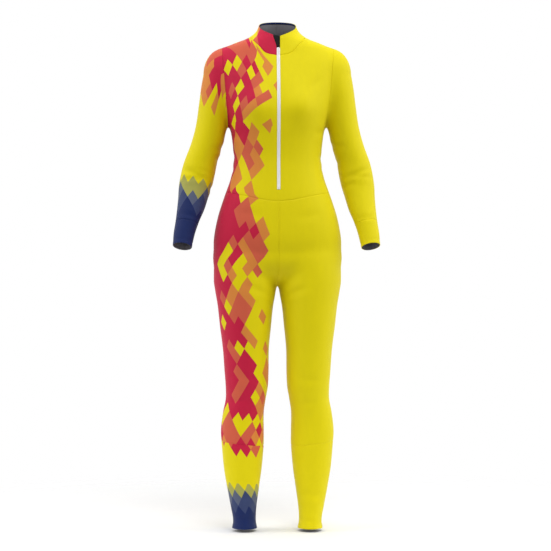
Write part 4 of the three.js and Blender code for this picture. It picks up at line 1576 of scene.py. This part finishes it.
def spindles(name, starts, ends, normals, maps, shape):
    """A mesh of small closed spindles, from each start to its end."""
    count = len(starts)
    along = ends - starts
    across = np.cross(along, normals)
    across = across / np.linalg.norm(across, axis=1, keepdims=True)
    around = np.arange(SPINDLE_SIDES) * 2 * np.pi / SPINDLE_SIDES
    section = (
        across[:, None] * np.cos(around)[:, None] * shape["wide"] / 2
        + normals[:, None] * np.sin(around)[:, None] * shape["high"]
    )
    sunk = normals * shape["sunk"]
    tip, far_tip = (starts - sunk)[:, None], (ends - sunk)[:, None]
    first = (starts + SPINDLE_TIP * along)[:, None] + section
    second = (ends - SPINDLE_TIP * along)[:, None] + section
    points = np.concatenate([tip, first, second, far_tip], axis=1)
    each = points.shape[1]
    k = np.arange(SPINDLE_SIDES)
    after = (k + 1) % SPINDLE_SIDES
    tips = np.concatenate([
        np.stack([k * 0, 1 + after, 1 + k], axis=1),
        np.stack([k * 0 + each - 1, 1 + SPINDLE_SIDES + k, 1 + SPINDLE_SIDES + after], axis=1),
    ])
    sides = np.stack([1 + k, 1 + after, 1 + SPINDLE_SIDES + after, 1 + SPINDLE_SIDES + k], axis=1)
    base = (np.arange(count) * each)[:, None, None]
    faces = (base + tips).reshape(-1, 3).tolist() + (base + sides).reshape(-1, 4).tolist()
    mesh = bpy.data.meshes.new(name)
    mesh.from_pydata((points.reshape(-1, 3) * MM).tolist(), [], faces)
    write_map(mesh, maps[corners_of(mesh) // each])
    return mesh


def stitches_on(line, normals, maps):
    """Starts, ends, normals and maps of the stitches along one line of a net."""
    lengths = lengths_along(line)
    count = int(lengths[-1] / STITCH["pitch"])
    places = (np.arange(count) + 0.5) * lengths[-1] / count
    half = STITCH["long"] / 2
    ends = [read_along(line, lengths, places + shift) for shift in (-half, half)]
    return (*ends, read_along(normals, lengths, places), read_along(maps, lengths, places))


print("faces of one stitch:", 3 * SPINDLE_SIDES)

# %% [markdown]
# The stitches run along rows of the nets, the second row in from each sewn edge, and two
# rows above each hem. A table names the lines of each kind of panel by a letter: bottom,
# top, left, right and hem.

# %% Stitch the panels
SEAM_LINES = {
    "front": "btlr", "back": "btlr", "leg": "btlr", "collar": "blt",
    "ankle": "bh", "sleeve": "bt", "cuff": "bh",
}
EDGE_LINE = 2


def lines_of(node):
    """The rows and columns of a panel's net that carry stitches."""
    net = built[node]
    parts = [net["outer"], net["normals"], net["maps"]]
    places = {
        "b": [(0, EDGE_LINE)],
        "t": [(0, -1 - EDGE_LINE)],
        "l": [(1, EDGE_LINE)],
        "r": [(1, -1 - EDGE_LINE)],
        "h": [(0, row) for row in HEM_STITCHES],
    }
    for edge in SEAM_LINES[node.split("_")[0]]:
        for axis, place in places[edge]:
            yield [np.take(part, place, axis) for part in parts]


def stitch(node, slot):
    rows = [stitches_on(*line) for line in lines_of(node)]
    starts, ends, normals, maps = (np.concatenate(parts) for parts in zip(*rows))
    mesh = spindles(f"{node}_stitches", starts, ends, normals, maps, STITCH)
    add_piece(f"{node}_stitches", mesh, built[node]["materials"][:1], slot)
    return len(starts)


panels = [node for node in built if node != "zip_guard"]
print("stitches:", sum(stitch(node, "yellow_cloth") for node in panels))

# %% [markdown]
# The zip
#
# A fine coil zip is two strips of white tape whose edges carry a spiral of nylon. Closed,
# it reads as one white band with a raised, finely ribbed middle. The tape follows the
# breastbone a hair under the cloth beside it, and each turn of the coil is a spindle that
# lies across the tape.

# %% Tape and coil
ZIP_CORNER = 3.0
ZIP_GAP = 0.25
ZIP_ACROSS = 10
ZIP_STEPS = 160
TAPE_SUNK = 0.15
COIL = {"pitch": 1.3, "from": 0.25, "to": 2.1, "wide": 0.85, "high": 0.5, "sunk": 0.1, "lean": 0.35}
COIL_SHORT = 2
COIL_RAISED = 0.1
WEAVE_RELIEF = {"Strength": 0.3, "Distance": 0.0002}
WEAVE_SHADE = 0.9


def zip_tape_net():
    heights = steps(ZIP_END, ZIP_TOP, ZIP_STEPS)[:, None]
    into_corner = np.clip(heights - (ZIP_TOP - ZIP_CORNER), 0, ZIP_CORNER)
    half = ZIP_WIDTH / 2 - ZIP_GAP - ZIP_CORNER + np.sqrt(ZIP_CORNER**2 - into_corner**2)
    return front_point(half * steps(-1, 1, ZIP_ACROSS)[None], heights)


def coil_turns(side):
    """The turns of the coil on one side of the middle."""
    heights = np.arange(ZIP_END + COIL_SHORT, ZIP_TOP - COIL_SHORT, COIL["pitch"])
    heights = heights + (side > 0) * COIL["pitch"] / 2
    starts = front_point(side * COIL["from"], heights - COIL["lean"])
    ends = front_point(side * COIL["to"], heights + COIL["lean"])
    normals = normals_at((starts + ends) / 2)
    raised = normals * COIL_RAISED
    return starts + raised, ends + raised, normals, np.zeros((len(starts), 2))


def woven(name, tone, rib):
    """A ribbed tape with a faint thread relief, and painted shade that darkens its colour in the
    grooves between the ribs.
    """
    material, tree, shader = new_material(name)
    u, v = map_of(tree)
    height = (v * (2 * np.pi / rib)).math("SINE") * 0.5 + (u * (2 * np.pi / rib)).math("SINE") * 0.5
    add_relief(shader, height, WEAVE_RELIEF)
    # Painted shade: the colour darkens to WEAVE_SHADE of the tone in the grooves of the rib.
    ends = [(0, (*(WEAVE_SHADE * c for c in tone[:3]), 1)), (1, tone)]
    connect(ramp(height * 0.5 + 0.5, ends), shader.inputs["Base Color"])
    shader.inputs["Roughness"].default_value = 0.5
    return material


zip_white = woven("white_tape", WHITE, 0.0008)
nylon_white = woven("white_nylon", WHITE, 0.0006)
tape = zip_tape_net()
tape_normals = normals_at(tape)
tape_face = tape - tape_normals * TAPE_SUNK
tape_map = arc_map(tape, False, "left", "bottom")
tape_mesh = shell_mesh("zip_tape", tape_face, tape_face - tape_normals, tape_map)
zip_tape = add_piece("zip_tape", tape_mesh, [zip_white, zip_white], "zip_tape")
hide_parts("zip")
for side, hand in HANDS.items():
    turns_mesh = spindles(f"zip_coil_{hand}", *coil_turns(side), COIL)
    add_piece(f"zip_coil_{hand}", turns_mesh, [nylon_white], "zip_tape")
print("turns of the coil:", 2 * len(coil_turns(RIGHT)[0]))

# %% [markdown]
# The rim of the collar
#
# Inside its top edge the collar is taped in navy, so that the raw edge doesn't rub the
# neck. Seen from in front it is a thin dark line round the opening.

# %% Tape inside the collar
RIM_ROWS = 5
RIM_THICK = 0.5
RIM_BELOW = 0.2

for hand in HANDS.values():
    collar = built[f"collar_{hand}"]
    rows = slice(-RIM_ROWS, None)
    lining = collar["outer"][rows] - collar["normals"][rows] * (CLOTH_THICK + RIM_BELOW)
    lining_inner = lining - collar["normals"][rows] * RIM_THICK
    rim_mesh = shell_mesh(f"collar_rim_{hand}", lining, lining_inner, collar["maps"][rows])
    add_piece(f"collar_rim_{hand}", rim_mesh, [plain_navy, plain_navy], "navy_cloth")
print("collar rims: 2")

# %% [markdown]
# The ground under the suit
#
# A product picture has no horizon. The floor here is a pale disc that thins out into the
# white room, so only the soft shadow of the ankles tells where it is. A large plane would
# be simpler, but its far edge would draw a line across the picture.

# %% Floor
FLOOR_Z = -1.332
FLOOR_RADIUS = 1.5
FLOOR_SOLID = 0.35
FLOOR_POINTS = 96
FLOOR_SURFACE = {"Base Color": (0.86, 0.86, 0.86, 1), "Roughness": 0.9}

angles = np.arange(FLOOR_POINTS) * 2 * np.pi / FLOOR_POINTS
floor_mesh = bpy.data.meshes.new("floor")
ring = np.stack([np.cos(angles), np.sin(angles), angles * 0], axis=1) * FLOOR_RADIUS
floor_mesh.from_pydata(ring.tolist(), [], [list(range(FLOOR_POINTS))])
floor = add_object("floor", floor_mesh)
floor.location = (0, 0, FLOOR_Z)


def floor_material():
    material, tree, shader = new_material("pale_floor")
    place = tree.nodes.new("ShaderNodeTexCoord")
    length = tree.nodes.new("ShaderNodeVectorMath")
    length.operation = "LENGTH"
    tree.links.new(place.outputs["Object"], length.inputs[0])
    share = wire(length, "Value") / FLOOR_RADIUS
    stops = [(FLOOR_SOLID, (1, 1, 1, 1)), (1.0, (0, 0, 0, 1))]
    connect(ramp(share, stops), shader.inputs["Alpha"])
    set_inputs(shader, FLOOR_SURFACE)
    return material


floor_mesh.materials.append(floor_material())
print("floor at", FLOOR_Z, "m")

# %% [markdown]
# Soft boxes
#
# Soft light comes from large lamps. Two stand beside the suit and lift its outer flanks,
# and a smaller one above and in front draws out the knit and the creases. Area lights are
# used because their size sets how soft the shadows are.

# %% Set up the lamps
LIGHTS = (
    {"name": "side_left", "at": (3.4, -1.0, 1.3), "size": 2.4, "power": 46},
    {"name": "side_right", "at": (-3.4, -1.0, 1.3), "size": 2.4, "power": 46},
    {"name": "above", "at": (0.5, -2.3, 2.9), "size": 1.6, "power": 66},
)
LIT_POINT = (0, 0, -0.6)


def add_light(name, at, size, power):
    data = bpy.data.lights.new(name, "AREA")
    data.size = size
    data.energy = power
    light = add_object(name, data)
    light.location = at
    way = Vector(LIT_POINT) - Vector(at)
    light.rotation_euler = way.to_track_quat("-Z", "Y").to_euler()


for light in LIGHTS:
    add_light(**light)
print("lamps:", len(LIGHTS))

# %% [markdown]
# The white room
#
# The suit stands in a white room, as in a product picture. The room is white behind it, and
# dimmer in front and below, so the hollows between the limbs see little light and are
# darker than the flanks. A flat white world would light the suit as evenly as fog. The
# colours are shown as they are, without a film look, because such a look greys a bright
# yellow.

# %% Light the room
SKY_BEHIND = 1.0
SKY_IN_FRONT = 0.32
SKY_BELOW = 0.2
SKY_ABOVE = 1.0
FRONT_TO_BACK = (0.1, 0.5)
BELOW_TO_ABOVE = (0.1, 0.42)


def greys(places, values):
    return [(place, (grey, grey, grey, 1)) for place, grey in zip(places, values)]


def sky():
    world = bpy.data.worlds.new("studio")
    world.use_nodes = True
    tree = world.node_tree
    place = tree.nodes.new("ShaderNodeTexCoord")
    _, ahead, up = split_up(wire(place, "Generated"))
    forward = greys(FRONT_TO_BACK, (SKY_IN_FRONT, SKY_BEHIND))
    upward = greys(BELOW_TO_ABOVE, (SKY_BELOW, SKY_ABOVE))
    light = ramp(ahead * 0.5 + 0.5, forward) * ramp(up * 0.5 + 0.5, upward)
    background = tree.nodes["Background"]
    background.inputs["Color"].default_value = (1, 1, 1, 1)
    connect(light, background.inputs["Strength"])
    bpy.context.scene.world = world


sky()
bpy.context.scene.view_settings.view_transform = "Standard"
print("light behind and in front:", SKY_BEHIND, SKY_IN_FRONT)
